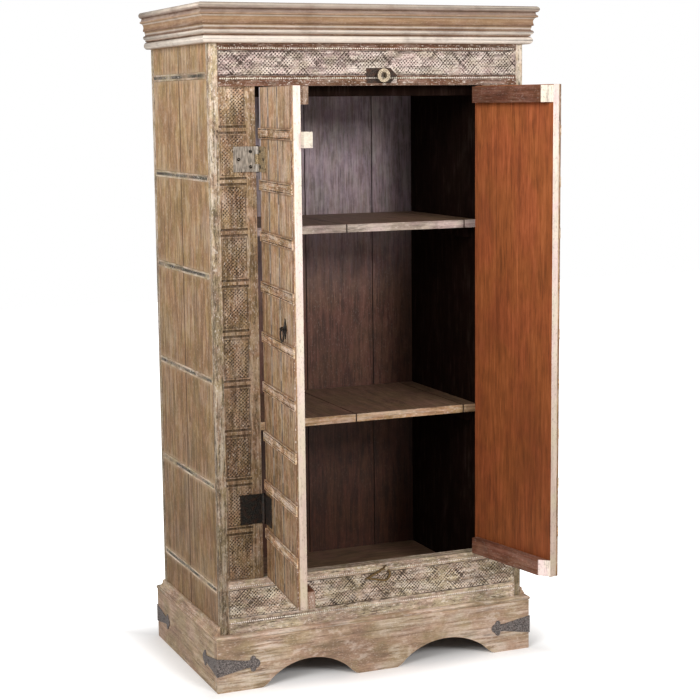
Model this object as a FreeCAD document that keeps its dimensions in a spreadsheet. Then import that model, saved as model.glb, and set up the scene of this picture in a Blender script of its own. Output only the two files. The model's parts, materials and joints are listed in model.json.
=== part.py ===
import FreeCAD, Part
import math
import os
import re

# A tall reclaimed-wood cabinet: an old carved door and its frame, set in a plank carcass
# that stands on an arched plinth and carries a moulded cornice. Lengths are millimetres.
# +X is the viewer's right, the front looks along -Y and +Z is up. The origin is on the floor
# under the middle foot of the front plinth board, halfway through that board.

Vector = FreeCAD.Vector
UP = Vector(0, 0, 1)

os.makedirs("parts", exist_ok=True)
doc = FreeCAD.newDocument("Cabinet")

# Driving dimensions
SIZES = (
    ("overall_height", 1830),
    # plinth
    ("plinth_width", 954),
    ("plinth_depth", 565),
    ("plinth_height", 156),
    ("plinth_board", 24),
    ("plinth_cap", 12),
    ("plinth_cap_reach", 2),
    ("plinth_cap_width", 62),
    ("plinth_block", 48),
    ("plinth_reach", 20),
    ("plinth_back_reach", 25),
    ("middle_foot_left", 61),
    ("middle_foot_right", 55),
    ("arch_left_span", 287),
    ("arch_right_span", 308),
    ("arch_rise", 65),
    ("arch_toe_rise", 20),
    ("arch_toe_reach", 27),
    ("arch_toe_hollow", 3),
    # carcass
    ("side_thickness", 24),
    ("post_depth", 22),
    ("post_round", 6),
    ("board_bevel", 2.5),
    ("side_rail_height", 18),
    ("side_rail_thickness", 8),
    ("side_rail_proud", 1.5),
    ("side_rail_clearance", 0.2),
    ("base_moulding_height", 22),
    ("base_moulding_reach", 16),
    ("back_thickness", 17),
    ("back_batten_height", 70),
    ("back_batten_thickness", 18),
    ("lining_thickness", 18),
    ("lining_rebate", 15),
    ("roof_thickness", 22),
    ("floor_thickness", 20),
    ("floor_rise", 57),
    ("shelf_thickness", 22),
    ("shelf_upper_share", 0.691),
    ("shelf_lower_share", 0.338),
    ("shelf_setback", 40),
    ("cleat_width", 16),
    ("cleat_height", 30),
    ("cleat_setback", 30),
    # carved frame
    ("frame_thickness", 32),
    ("frieze_height", 110),
    ("frieze_top_moulding", 18),
    ("frieze_low_moulding", 26),
    ("apron_height", 147),
    ("apron_top_moulding", 24),
    ("apron_low_moulding", 42),
    ("moulding_proud", 6),
    ("stile_width", 101),
    ("stile_edge", 26),
    ("tile_gap", 22),
    ("tile_bar", 9),
    ("tile_relief", 4),
    ("cell_pitch_share", 0.1015),
    ("stile_cell_rise", 12),
    ("door_cell_rise", 2),
    ("stop_lap", 25),
    ("stop_thickness", 20),
    ("stop_gap", 0.5),
    # cornice
    ("cornice_height", 102),
    ("cornice_reach", 34),
    ("cornice_seat", 18),
    ("cornice_lid", 18),
    # doors
    ("door_gap", 3),
    ("door_thickness", 23),
    ("door_left_open", 96),
    ("door_right_open", 101),
    ("crossband_height", 27),
    ("crossband_relief", 4),
    ("batten_height", 44),
    ("batten_thickness", 20),
    ("batten_inset", 2),
    ("batten_start", 14),
    ("batten_bevel", 26),
    ("stop_block_height", 39),
    ("stop_block_thickness", 24),
    ("stop_block_reach", 20),
    ("stop_block_hold", 34),
    ("stop_block_relief", 1),
    ("stop_block_drop", 131),
    # hinges
    ("hinge_cells_from_middle", 3.5),
    ("knuckle_radius", 6),
    ("pin_radius", 2.5),
    ("pin_clearance", 0.05),
    ("pin_head_radius", 4.5),
    ("pin_head", 2),
    ("knuckle_gap", 0.5),
    ("leaf_width", 58),
    ("leaf_thickness", 3),
    ("upper_leaf_share", 0.495),
    ("lower_leaf_share", 0.600),
    # iron straps and nails
    ("strap_length", 124),
    ("strap_height", 51),
    ("strap_neck", 21),
    ("strap_head_radius", 13),
    ("strap_lobe_radius", 8),
    ("strap_lobe_offset", 14),
    ("strap_thickness", 2),
    ("nail_radius", 3),
    ("nail_height", 1.5),
    # ring eye on the frieze
    ("eye_radius", 18),
    ("eye_hole_radius", 9),
    ("eye_neck_radius", 12),
    ("eye_lip", 7),
    ("eye_reach", 18),
    ("eye_place", 28),
    ("eye_plate_length", 91),
    ("eye_plate_height", 40),
    ("eye_plate_thickness", 3),
    ("eye_plate_clearance", 0.5),
    # iron loop on the apron
    ("loop_length", 79),
    ("loop_radius", 19),
    ("loop_wire", 5),
    ("loop_clearance", 1),
    ("loop_place", 26),
    ("loop_drop", 13),
    ("loop_lug_turn", 70),
    ("loop_tilt", 6),
    ("loop_lug_wall", 4),
    ("staple_radius", 2.4),
    ("staple_head_radius", 6),
    ("staple_head", 3),
    ("staple_clearance", 0.4),
    # ring pulls
    ("pull_place", 240),
    ("pull_cell_share", 0.37),
    ("pull_plate_width", 30),
    ("pull_plate_height", 52),
    ("pull_plate_thickness", 2.5),
    ("pull_ring_radius", 16),
    ("pull_wire_radius", 2.2),
    ("pull_wire_clearance", 0.6),
    ("pull_lug_radius", 5.5),
    ("pull_lug_thickness", 4),
    ("pull_lug_reach", 7.5),
)

# Places and spans that follow from the driving dimensions
PLACES = (
    ("board_half_width", "plinth_width / 2 - plinth_cap_reach"),
    ("cap_front", "-plinth_board / 2 - plinth_cap_reach"),
    ("plinth_back", "cap_front + plinth_depth"),
    ("board_back", "plinth_back - plinth_cap_reach"),
    ("board_height", "plinth_height - plinth_cap"),
    ("half_width", "plinth_width / 2 - plinth_reach"),
    ("carcass_front", "cap_front + plinth_reach"),
    ("carcass_back", "plinth_back - plinth_back_reach"),
    ("carcass_top", "overall_height - cornice_height"),
    ("carcass_height", "carcass_top - plinth_height"),
    ("frame_half", "half_width - side_thickness"),
    ("frame_back", "carcass_front + frame_thickness"),
    ("opening_half", "frame_half - stile_width"),
    ("frieze_bottom", "carcass_top - frieze_height"),
    ("apron_top", "plinth_height + apron_height"),
    ("stile_height", "frieze_bottom - apron_top"),
    ("cell_pitch", "stile_height * cell_pitch_share"),
    ("strap_place", "board_height / 2"),
    ("back_face", "carcass_back - back_thickness"),
    ("interior_half", "opening_half + lining_rebate"),
    ("roof_bottom", "carcass_top - roof_thickness"),
    ("floor_top", "plinth_height + floor_rise"),
    ("shelf_upper_top", "floor_top + shelf_upper_share * (roof_bottom - floor_top)"),
    ("shelf_lower_top", "floor_top + shelf_lower_share * (roof_bottom - floor_top)"),
    ("door_bottom", "apron_top + door_gap"),
    ("door_height", "stile_height - 2 * door_gap"),
    ("door_width", "opening_half - door_gap * 3 / 2"),
    ("door_middle_band", "door_bottom + door_height / 2 + door_cell_rise"),
    ("upper_hinge_place", "door_middle_band + hinge_cells_from_middle * cell_pitch"),
    ("lower_hinge_place", "door_middle_band - hinge_cells_from_middle * cell_pitch"),
    ("upper_leaf_height", "upper_leaf_share * cell_pitch"),
    ("lower_leaf_height", "lower_leaf_share * cell_pitch"),
    ("pull_height_place", "door_middle_band + pull_cell_share * cell_pitch"),
    ("stop_block_place", "door_bottom + door_height - stop_block_drop"),
    ("hinge_x", "opening_half - door_gap / 2"),
    ("hinge_stand", "knuckle_radius + knuckle_gap"),
    ("hinge_y", "carcass_front - hinge_stand"),
    ("door_back", "carcass_front + door_thickness"),
    ("shelf_front", "door_back + shelf_setback"),
    ("stop_front", "door_back + batten_thickness + stop_gap"),
    ("stop_bottom", "door_bottom + door_height - stop_lap"),
    ("moulding_front", "carcass_front - moulding_proud"),
    ("eye_plate_low", "frieze_bottom + frieze_low_moulding - eye_plate_height / 2"),
    ("loop_front", "moulding_front - loop_clearance - loop_wire"),
    ("loop_height_place", "apron_top - loop_drop"),
)

# Shares of the carcass height where the dark rails cross the side planks
SIDE_RAIL_SHARES = (0.076, 0.257, 0.439, 0.616, 0.779, 0.948)
# Shares of the back's height where its battens lie
BACK_BATTEN_SHARES = (0.12, 0.50, 0.88)
# Shares of each shelf's width where its boards meet
SHELF_JOINT_SHARES = {"upper": (0.0, 0.427, 0.942, 1.0), "lower": (0.0, 0.460, 0.938, 1.0)}
# Shares of a door's width where its planks meet
DOOR_PLANK_SHARES = (0.0, 0.28, 0.57, 1.0)
# Section of the cornice from its foot up: share of the reach, share of the height and the
# bulge of the stretch that leads there as a share of that stretch
CORNICE_SHARES = (
    (0.30, 0.00, 0.0),
    (0.30, 0.20, 0.5),
    (0.46, 0.21, 0.0),
    (0.46, 0.26, 0.0),
    (0.48, 0.26, 0.0),
    (0.48, 0.37, 0.5),
    (0.46, 0.38, 0.0),
    (0.52, 0.48, 0.0),
    (0.64, 0.49, 0.0),
    (0.64, 0.53, 0.0),
    (0.76, 0.70, -0.18),
    (0.90, 0.71, 0.0),
    (0.90, 0.75, 0.0),
    (0.76, 0.84, -0.18),
    (0.76, 1.00, 0.5),
)
# Section of the moulding round the foot of the side planks: shares of its reach and height
BASE_MOULDING_SHARES = (
    (1.00, 0.00, 0.0),
    (1.00, 0.16, 0.0),
    (0.78, 0.34, -0.20),
    (0.78, 0.42, 0.0),
    (0.50, 0.66, -0.20),
    (0.50, 0.74, 0.0),
    (0.20, 1.00, 0.18),
)
# Section of a moulding planted on the frieze or apron: shares of its relief and height
TOP_MOULDING_SHARES = (
    (0.55, 0.00, 0.0),
    (0.55, 0.10, 0.0),
    (0.80, 0.55, 0.10),
    (0.60, 0.62, 0.0),
    (1.00, 0.66, 0.0),
    (1.00, 1.00, 0.0),
)
LOW_MOULDING_SHARES = (
    (1.00, 0.00, 0.0),
    (1.00, 0.22, 0.0),
    (0.70, 0.28, 0.0),
    (0.70, 0.62, 0.10),
    (0.45, 0.68, 0.0),
    (0.45, 0.92, 0.10),
    (0.20, 1.00, 0.0),
)
# Bands between the ten cells of a stile or a door, counted from the middle one
BAND_STEPS = range(-4, 5)
BACK_PLANK_COUNT = 4
# Share of a hinge's height that each end knuckle takes
END_KNUCKLE_SHARE = 0.3
# Shares of a strap's length at its neck, its cross lobes and its two nails
STRAP_NECK_SHARE = 0.68
STRAP_LOBE_SHARE = 0.84
STRAP_NAIL_SHARES = (0.16, 0.56)

HOME = {name: "Sizes" for name, _ in SIZES}
HOME.update({name: "Places" for name, _ in PLACES})
WORD = re.compile(r"[a-z][a-z_]+")


def formula(text):
    """Point each size or place named in a formula at the sheet that holds it."""
    return WORD.sub(lambda word: HOME[word.group(0)] + "." + word.group(0), text)


def fill_sheets():
    """Write the driving dimensions and the places that follow from them."""
    sizes = doc.addObject("Spreadsheet::Sheet", "Sizes")
    for row, (name, value) in enumerate(SIZES, start=1):
        sizes.set(f"A{row}", name)
        sizes.set(f"B{row}", str(value))
        sizes.setAlias(f"B{row}", name)
    places = doc.addObject("Spreadsheet::Sheet", "Places")
    for row, (name, rule) in enumerate(PLACES, start=1):
        places.set(f"A{row}", name)
        places.setAlias(f"B{row}", name)
        places.set(f"B{row}", "=" + formula(rule).replace("Places.", ""))
    doc.recompute()


def size(name):
    """The value of a driving dimension or of a place."""
    return float(doc.getObject(HOME[name]).get(name))


NODES = []


def keep(item):
    """Count an object as a sub-part of its own."""
    NODES.append(item)
    return item


def bind(item, rules):
    """Tie properties of an object to formulas of the sheets."""
    for name, rule in rules.items():
        item.setExpression(name, formula(rule))
    return item


def box(label, low, spans):
    """A squared board from its lowest corner and its three spans, all formulas."""
    item = doc.addObject("Part::Box", label)
    bind(item, dict(zip(("Length", "Width", "Height"), spans)))
    bind(item, dict(zip(("Placement.Base.x", "Placement.Base.y", "Placement.Base.z"), low)))
    return item


def group(label, items):
    """Several like pieces that share one sub-part."""
    item = doc.addObject("Part::Compound", label)
    item.Links = items
    return item


def feature(label, shape):
    """An object whose shape is worked out here from the sheets' values."""
    item = doc.addObject("Part::Feature", label)
    item.Shape = shape
    return item


def side_start(side, start, span):
    """Formula for the lowest x of a piece that starts at a distance right or left of the middle."""
    if side > 0:
        return start
    return f"-({start}) - ({span})"


def side_name(side):
    """The word for a side of the cabinet as the viewer faces it."""
    return "right" if side > 0 else "left"


def block(low, high):
    """A squared solid between two corners."""
    span = high - low
    return Part.makeBox(span.x, span.y, span.z, low)


def mirrored(shape, side):
    """A shape made for the right side, turned over for the left where asked."""
    if side > 0:
        return shape
    return shape.mirror(Vector(0, 0, 0), Vector(1, 0, 0))


def section_wire(points, place):
    """A closed wire through (out, up, bulge) points, with place turning out and up into 3-D."""
    edges = []
    for start, end in zip(points, points[1:] + points[:1]):
        first = place(start[0], start[1])
        last = place(end[0], end[1])
        bulge = end[2]
        if bulge:
            run = end[0] - start[0]
            rise = end[1] - start[1]
            middle = place(
                (start[0] + end[0]) / 2 + bulge * rise,
                (start[1] + end[1]) / 2 - bulge * run,
            )
            edges.append(Part.Arc(first, middle, last).toShape())
        else:
            edges.append(Part.makeLine(first, last))
    return Part.Wire(edges)


def section(shares, reach, height, seat):
    """Points of a moulding's section, closed behind by its flat seat."""
    points = [(-seat, 0.0, 0.0)]
    points += [(out * reach, up * height, bulge) for out, up, bulge in shares]
    points.append((-seat, height, 0.0))
    return points


def moulding_along_x(points, face, foot, low, high):
    """A moulding that runs along X and swells towards the front from a face."""
    wire = section_wire(points, lambda out, up: Vector(low, face - out, foot + up))
    return Part.Face(wire).extrude(Vector(high - low, 0, 0))


def moulding_along_y(points, face, foot, low, high):
    """A moulding that runs along Y and swells outwards from a face on the right."""
    wire = section_wire(points, lambda out, up: Vector(face + out, low, foot + up))
    return Part.Face(wire).extrude(Vector(0, high - low, 0))


def prism(corners, foot, height):
    """A solid with an outline of (x, y) corners."""
    outline = [Vector(x, y, foot) for x, y in corners]
    return Part.Face(Part.makePolygon(outline + outline[:1])).extrude(UP * height)


def front_plank(low, high, front, back, foot, height):
    """An upright plank whose two front corners are bevelled, so that neighbours meet in a V."""
    bevel = size("board_bevel")
    corners = [
        (low, back),
        (low, front + bevel),
        (low + bevel, front),
        (high - bevel, front),
        (high, front + bevel),
        (high, back),
    ]
    return prism(corners, foot, height)


# Plinth


def arch_outline():
    """The lower edge of the front board from left to right: three feet and two arches."""
    half = size("board_half_width")
    left_foot = -size("middle_foot_left")
    right_foot = size("middle_foot_right")
    arches = (
        (left_foot - size("arch_left_span"), left_foot),
        (right_foot, right_foot + size("arch_right_span")),
    )
    reach = size("arch_toe_reach")
    spring = Vector(0, 0, size("arch_toe_rise"))
    crown = Vector(0, 0, size("arch_rise"))
    hollow = Vector(0, 0, size("arch_toe_rise") / 2 - size("arch_toe_hollow"))
    edges = []
    here = Vector(-half, 0, 0)
    for low, high in arches:
        start = Vector(low, 0, 0)
        end = Vector(high, 0, 0)
        near = Vector(low + reach, 0, 0)
        far = Vector(high - reach, 0, 0)
        edges.append(Part.makeLine(here, start))
        edges.append(Part.Arc(start, (start + near) / 2 + hollow, near + spring).toShape())
        edges.append(Part.Arc(near + spring, (start + end) / 2 + crown, far + spring).toShape())
        edges.append(Part.Arc(far + spring, (far + end) / 2 + hollow, end).toShape())
        here = end
    edges.append(Part.makeLine(here, Vector(half, 0, 0)))
    return edges


def plinth_front():
    """The front board with its two arches."""
    half = size("board_half_width")
    top = size("board_height")
    thick = size("plinth_board")
    edges = arch_outline()
    edges.append(Part.makeLine(Vector(half, 0, 0), Vector(half, 0, top)))
    edges.append(Part.makeLine(Vector(half, 0, top), Vector(-half, 0, top)))
    edges.append(Part.makeLine(Vector(-half, 0, top), Vector(-half, 0, 0)))
    board = Part.Face(Part.Wire(edges)).extrude(Vector(0, thick, 0))
    board.translate(Vector(0, -thick / 2, 0))
    keep(feature("plinth_front", board))


def plinth_sides_and_back():
    """Side boards butt behind the front board, and the back board stands between them."""
    depth = "board_back - plinth_board / 2"
    for side in (-1, 1):
        low = side_start(side, "board_half_width - plinth_board", "plinth_board")
        spans = ("plinth_board", depth, "board_height")
        keep(box(f"plinth_{side_name(side)}", (low, "plinth_board / 2", "0"), spans))
    low = ("plinth_board - board_half_width", "board_back - plinth_board", "0")
    spans = ("2 * (board_half_width - plinth_board)", "plinth_board", "board_height")
    keep(box("plinth_back", low, spans))


def plinth_blocks():
    """A glue block stands in each inner corner of the plinth."""
    blocks = []
    rows = ("plinth_board / 2", "board_back - plinth_board - plinth_block")
    for side in (-1, 1):
        start = "board_half_width - plinth_board - plinth_block"
        low = side_start(side, start, "plinth_block")
        for number, row in enumerate(rows):
            label = f"block_{side_name(side)}_{number}"
            spans = ("plinth_block", "plinth_block", "board_height")
            blocks.append(box(label, (low, row, "0"), spans))
    keep(group("plinth_corner_blocks", blocks))


def plinth_cap():
    """A flat frame with a rounded edge lies on the plinth boards and carries the carcass."""
    half = size("plinth_width") / 2
    front = size("cap_front")
    back = size("plinth_back")
    wide = size("plinth_cap_width")
    thick = size("plinth_cap")
    foot = size("board_height")
    edge = [(-wide, 0.0, 0.0), (-thick / 2, 0.0, 0.0), (-thick / 2, thick, 0.5), (-wide, thick, 0.0)]
    long_front = moulding_along_x(edge, front, foot, -half, half)
    keep(feature("plinth_cap_front", long_front.common(front_mitre(half, front, wide, foot, thick))))
    returns = []
    for side in (-1, 1):
        run = moulding_along_y(edge, half, foot, front, back)
        run = run.common(side_mitre(half, front, back, wide, foot, thick))
        returns.append(mirrored(run, side))
    inner = half - wide
    returns.append(block(Vector(-inner, back - wide, foot), Vector(inner, back, foot + thick)))
    keep(feature("plinth_cap_returns", Part.makeCompound(returns)))


def front_mitre(half, front, wide, foot, height):
    """The space between the two mitres of a front piece, with room to spare before and behind."""
    out = half + wide
    inside = half - 2 * wide
    near = front - wide
    deep = front + 2 * wide
    corners = [(-out, near), (out, near), (inside, deep), (-inside, deep)]
    return prism(corners, foot - wide, height + 2 * wide)


def side_mitre(half, front, back, wide, foot, height):
    """The space behind the right-hand mitre, with room to spare all round."""
    out = half + wide
    inside = half - 2 * wide
    corners = [(out, front - wide), (out, back + wide), (inside, back + wide), (inside, front + 2 * wide)]
    return prism(corners, foot - wide, height + 2 * wide)


# Carcass


def front_posts():
    """A slim post with a rounded corner stands at each front corner."""
    low = Vector(size("frame_half"), size("carcass_front"), size("plinth_height"))
    high = Vector(size("half_width"), size("carcass_front") + size("post_depth"), size("carcass_top"))
    post = block(low, high)
    corner = [edge for edge in post.Edges if is_upright(edge, high.x, low.y)]
    post = post.makeFillet(size("post_round"), corner)
    for side in (-1, 1):
        keep(feature(f"post_front_{side_name(side)}", mirrored(post, side)))


def is_upright(edge, x, y):
    """Whether an edge stands upright at a place."""
    return all(Vector(end.X, end.Y, 0).isEqual(Vector(x, y, 0), Part.Precision.confusion())
               for end in edge.Vertexes)


def back_posts():
    """A squared post stands at each back corner, and the side planks butt against it."""
    posts = []
    for side in (-1, 1):
        low = (side_start(side, "frame_half", "side_thickness"), "carcass_back - post_depth", "plinth_height")
        spans = ("side_thickness", "post_depth", "carcass_height")
        posts.append(box(f"post_back_{side_name(side)}", low, spans))
    keep(group("posts_back", posts))


def side_rail_middles():
    """The heights of the middles of the six dark rails."""
    return [size("plinth_height") + share * size("carcass_height") for share in SIDE_RAIL_SHARES]


def side_planks():
    """The two wide planks of the right side: a back part and the raised fields between rails."""
    front = size("carcass_front") + size("post_depth")
    back = size("carcass_back") - size("post_depth")
    inner = size("frame_half")
    outer = size("half_width")
    foot = size("plinth_height")
    bevel = size("board_bevel")
    clear = size("side_rail_clearance")
    ground = outer - size("side_rail_thickness") - clear
    half = size("side_rail_height") / 2 + clear
    middles = side_rail_middles()
    feet = [foot] + [middle + half for middle in middles]
    tops = [middle - half for middle in middles] + [size("carcass_top")]
    joint = (front + back) / 2
    planks = []
    for low, high in ((front, joint), (joint, back)):
        core = block(Vector(inner, low, foot), Vector(ground, high, size("carcass_top")))
        corners = [
            (ground, low),
            (outer - bevel, low),
            (outer, low + bevel),
            (outer, high - bevel),
            (outer - bevel, high),
            (ground, high),
        ]
        fields = [prism(corners, start, end - start) for start, end in zip(feet, tops)]
        planks.append(core.multiFuse(fields).removeSplitter())
    return Part.makeCompound(planks)


def side_rails():
    """The six rails of the right side, a little proud of the planks they are let into."""
    face = size("half_width")
    half = size("side_rail_height") / 2
    front = size("carcass_front") + size("post_depth")
    back = size("carcass_back") - size("post_depth")
    inner = face - size("side_rail_thickness")
    outer = face + size("side_rail_proud")
    rails = [block(Vector(inner, front, middle - half), Vector(outer, back, middle + half))
             for middle in side_rail_middles()]
    return Part.makeCompound(rails)


def side_panels():
    """Each side is two wide upright planks with six rails let into them."""
    for side in (-1, 1):
        name = side_name(side)
        keep(feature(f"side_planks_{name}", mirrored(side_planks(), side)))
        keep(feature(f"side_rails_{name}", mirrored(side_rails(), side)))


def base_mouldings():
    """A stepped moulding covers the joint between the side planks and the plinth."""
    points = section(BASE_MOULDING_SHARES, size("base_moulding_reach"), size("base_moulding_height"), 0.0)
    front = size("carcass_front") + size("post_round")
    run = moulding_along_y(points, size("half_width"), size("plinth_height"), front, size("carcass_back"))
    keep(feature("base_mouldings", Part.makeCompound([mirrored(run, side) for side in (-1, 1)])))


def back_panel():
    """Four planks close the back, held by three battens behind them."""
    half = size("frame_half")
    wide = 2 * half / BACK_PLANK_COUNT
    foot = size("plinth_height")
    planks = []
    for number in range(BACK_PLANK_COUNT):
        low = number * wide - half
        plank = front_plank(low, low + wide, -size("carcass_back"), -size("back_face"), foot,
                            size("carcass_height"))
        planks.append(plank.mirror(Vector(0, 0, 0), Vector(0, 1, 0)))
    keep(feature("back_planks", Part.makeCompound(planks)))
    battens = []
    for number, share in enumerate(BACK_BATTEN_SHARES):
        foot = f"plinth_height + {share} * carcass_height - back_batten_height / 2"
        spans = ("2 * frame_half", "back_batten_thickness", "back_batten_height")
        battens.append(box(f"back_batten_{number}", ("-frame_half", "carcass_back", foot), spans))
    keep(group("back_battens", battens))


def linings():
    """Upright boards behind the carved stiles line the sides of the compartments."""
    for side in (-1, 1):
        low = (side_start(side, "interior_half", "lining_thickness"), "frame_back", "plinth_height")
        spans = ("lining_thickness", "back_face - frame_back", "roof_bottom - plinth_height")
        keep(box(f"lining_{side_name(side)}", low, spans))


def roof_and_floor():
    """The roof board covers the whole carcass, the floor lies between the linings."""
    low = ("-frame_half", "frame_back", "roof_bottom")
    spans = ("2 * frame_half", "back_face - frame_back", "roof_thickness")
    keep(box("roof_board", low, spans))
    low = ("-interior_half", "frame_back", "floor_top - floor_thickness")
    spans = ("2 * interior_half", "back_face - frame_back", "floor_thickness")
    keep(box("floor_board", low, spans))


def shelves():
    """Each shelf is three boards laid edge to edge from front to back."""
    for place in ("upper", "lower"):
        boards = []
        joints = SHELF_JOINT_SHARES[place]
        for number, (start, end) in enumerate(zip(joints, joints[1:])):
            low = (
                f"(2 * {start} - 1) * interior_half",
                "shelf_front",
                f"shelf_{place}_top - shelf_thickness",
            )
            spans = (f"2 * ({end} - {start}) * interior_half", "back_face - shelf_front", "shelf_thickness")
            boards.append(box(f"shelf_{place}_board_{number}", low, spans))
        keep(group(f"shelf_{place}", boards))


def cleats():
    """Cleats on the linings carry the shelves and the floor."""
    tops = (
        "shelf_upper_top - shelf_thickness",
        "shelf_lower_top - shelf_thickness",
        "floor_top - floor_thickness",
    )
    pieces = []
    for side in (-1, 1):
        start = side_start(side, "interior_half - cleat_width", "cleat_width")
        for number, top in enumerate(tops):
            low = (start, "shelf_front + cleat_setback", f"{top} - cleat_height")
            spans = ("cleat_width", "back_face - shelf_front - cleat_setback", "cleat_height")
            pieces.append(box(f"cleat_{side_name(side)}_{number}", low, spans))
    keep(group("shelf_cleats", pieces))


# Carved frame round the doors


def frieze():
    """The carved rail over the doors with a moulding along its top and bottom."""
    low = ("-frame_half", "carcass_front", "frieze_bottom")
    keep(box("frieze_rail", low, ("2 * frame_half", "frame_thickness", "frieze_height")))
    half = size("frame_half")
    face = size("carcass_front")
    tops = section(TOP_MOULDING_SHARES, size("moulding_proud"), size("frieze_top_moulding"), 0.0)
    lows = section(LOW_MOULDING_SHARES, size("moulding_proud"), size("frieze_low_moulding"), 0.0)
    top_foot = size("carcass_top") - size("frieze_top_moulding")
    top = moulding_along_x(tops, face, top_foot, -half, half)
    bottom = moulding_along_x(lows, face, size("frieze_bottom"), -half, half)
    gap = size("eye_plate_clearance")
    reach = size("eye_plate_length") / 2 + gap
    foot = size("eye_plate_low") - gap
    notch_low = Vector(size("eye_place") - reach, size("moulding_front"), foot)
    notch_high = Vector(size("eye_place") + reach, face, foot + size("eye_plate_height"))
    bottom = bottom.cut(block(notch_low, notch_high))
    keep(feature("frieze_mouldings", Part.makeCompound([top, bottom])))


def apron():
    """The carved rail under the doors with its mouldings."""
    low = ("-frame_half", "carcass_front", "plinth_height")
    keep(box("apron_rail", low, ("2 * frame_half", "frame_thickness", "apron_height")))
    half = size("frame_half")
    face = size("carcass_front")
    tops = section(TOP_MOULDING_SHARES, size("moulding_proud"), size("apron_top_moulding"), 0.0)
    lows = section(LOW_MOULDING_SHARES, size("moulding_proud"), size("apron_low_moulding"), 0.0)
    top_foot = size("apron_top") - size("apron_top_moulding")
    top = moulding_along_x(tops, face, top_foot, -half, half).cut(staple_shank())
    bottom = moulding_along_x(lows, face, size("plinth_height"), -half, half)
    keep(feature("apron_mouldings", Part.makeCompound([top, bottom])))


def stiles():
    """The old frame's jambs: a column of raised tiles beside a plain edge, from one timber."""
    opening = size("opening_half")
    outer = size("frame_half")
    inner = opening + size("stile_edge")
    front = size("carcass_front")
    ground = front + size("tile_relief")
    foot = size("apron_top")
    top = size("frieze_bottom")
    gap = size("tile_gap") / 2
    bar = size("tile_bar") / 2
    bands = [(foot + top) / 2 + size("stile_cell_rise") + step * size("cell_pitch") for step in BAND_STEPS]
    tile_feet = [foot] + [band + gap for band in bands]
    tile_tops = [band - gap for band in bands] + [top]
    spans = list(zip(tile_feet, tile_tops)) + [(band - bar, band + bar) for band in bands]
    body = block(Vector(opening, ground, foot), Vector(outer, size("frame_back"), top))
    raised = [block(Vector(opening, front, foot), Vector(inner, ground, top))]
    raised += [block(Vector(inner, front, low), Vector(outer, ground, high)) for low, high in spans]
    stile = body.multiFuse(raised).removeSplitter()
    for side in (-1, 1):
        keep(feature(f"stile_{side_name(side)}", mirrored(stile, side)))


def door_stop():
    """A rail under the roof board stops both doors when they close."""
    low = ("-interior_half", "stop_front", "stop_bottom")
    spans = ("2 * interior_half", "stop_thickness", "roof_bottom - stop_bottom")
    keep(box("door_stop_rail", low, spans))


# Cornice


def cornice():
    """Three mitred mouldings, a plain back rail and a lid make the box on top."""
    half = size("half_width")
    front = size("carcass_front")
    back = size("carcass_back")
    reach = size("cornice_reach")
    seat = size("cornice_seat")
    foot = size("carcass_top")
    tall = size("cornice_height")
    points = section(CORNICE_SHARES, reach, tall, seat)
    wide = reach + seat
    outer = half + reach
    run = moulding_along_x(points, front, foot, -outer, outer)
    keep(feature("cornice_front", run.common(front_mitre(outer, front - reach, wide, foot, tall))))
    run = moulding_along_y(points, half, foot, front - reach, back)
    run = run.common(side_mitre(outer, front - reach, back, wide, foot, tall))
    for side in (-1, 1):
        keep(feature(f"cornice_{side_name(side)}", mirrored(run, side)))
    inner = "half_width - cornice_seat"
    low = (f"-({inner})", "carcass_back - cornice_seat", "carcass_top")
    keep(box("cornice_back", low, (f"2 * ({inner})", "cornice_seat", "cornice_height")))
    low = (f"-({inner})", "carcass_front + cornice_seat", "overall_height - cornice_lid")
    depth = "carcass_back - carcass_front - 2 * cornice_seat"
    keep(box("cornice_lid", low, (f"2 * ({inner})", depth, "cornice_lid")))


# Doors. Each is drawn closed, with its hinge axis at the origin and its free edge towards the
# middle of the cabinet, and is then placed on its hinge axis and turned open.


def hang(item, side):
    """Place a piece of a door on its hinge axis, turned open."""
    turned = size("door_right_open") if side > 0 else -size("door_left_open")
    item.Placement = FreeCAD.Placement(Vector(0, 0, 0), FreeCAD.Rotation(UP, turned))
    bind(item, {
        "Placement.Base.x": "hinge_x" if side > 0 else "-hinge_x",
        "Placement.Base.y": "hinge_y",
        "Placement.Rotation.Angle": "door_right_open" if side > 0 else "-door_left_open",
    })
    return keep(item)


def door_side(side):
    """A door's free edge lies towards the middle: left of a right hinge, right of a left one."""
    return -side


def door_planks(side):
    """Three planks, bevelled where they meet."""
    edge = size("door_gap") / 2
    wide = size("door_width")
    face = size("hinge_stand")
    planks = []
    for start, end in zip(DOOR_PLANK_SHARES, DOOR_PLANK_SHARES[1:]):
        plank = front_plank(edge + start * wide, edge + end * wide, face, face + size("door_thickness"),
                            size("door_bottom"), size("door_height"))
        planks.append(mirrored(plank, door_side(side)))
    hang(feature(f"door_{side_name(side)}_planks", Part.makeCompound(planks)), side)


def door_crossbands(side):
    """Nine flat bands cross the planks and divide them into cells."""
    bands = []
    for number, step in enumerate(BAND_STEPS):
        low = (
            side_start(door_side(side), "door_gap / 2", "door_width"),
            "hinge_stand - crossband_relief",
            f"door_middle_band + {step} * cell_pitch - crossband_height / 2",
        )
        spans = ("door_width", "crossband_relief", "crossband_height")
        bands.append(box(f"crossband_{side_name(side)}_{number}", low, spans))
    hang(group(f"door_{side_name(side)}_crossbands", bands), side)


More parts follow.
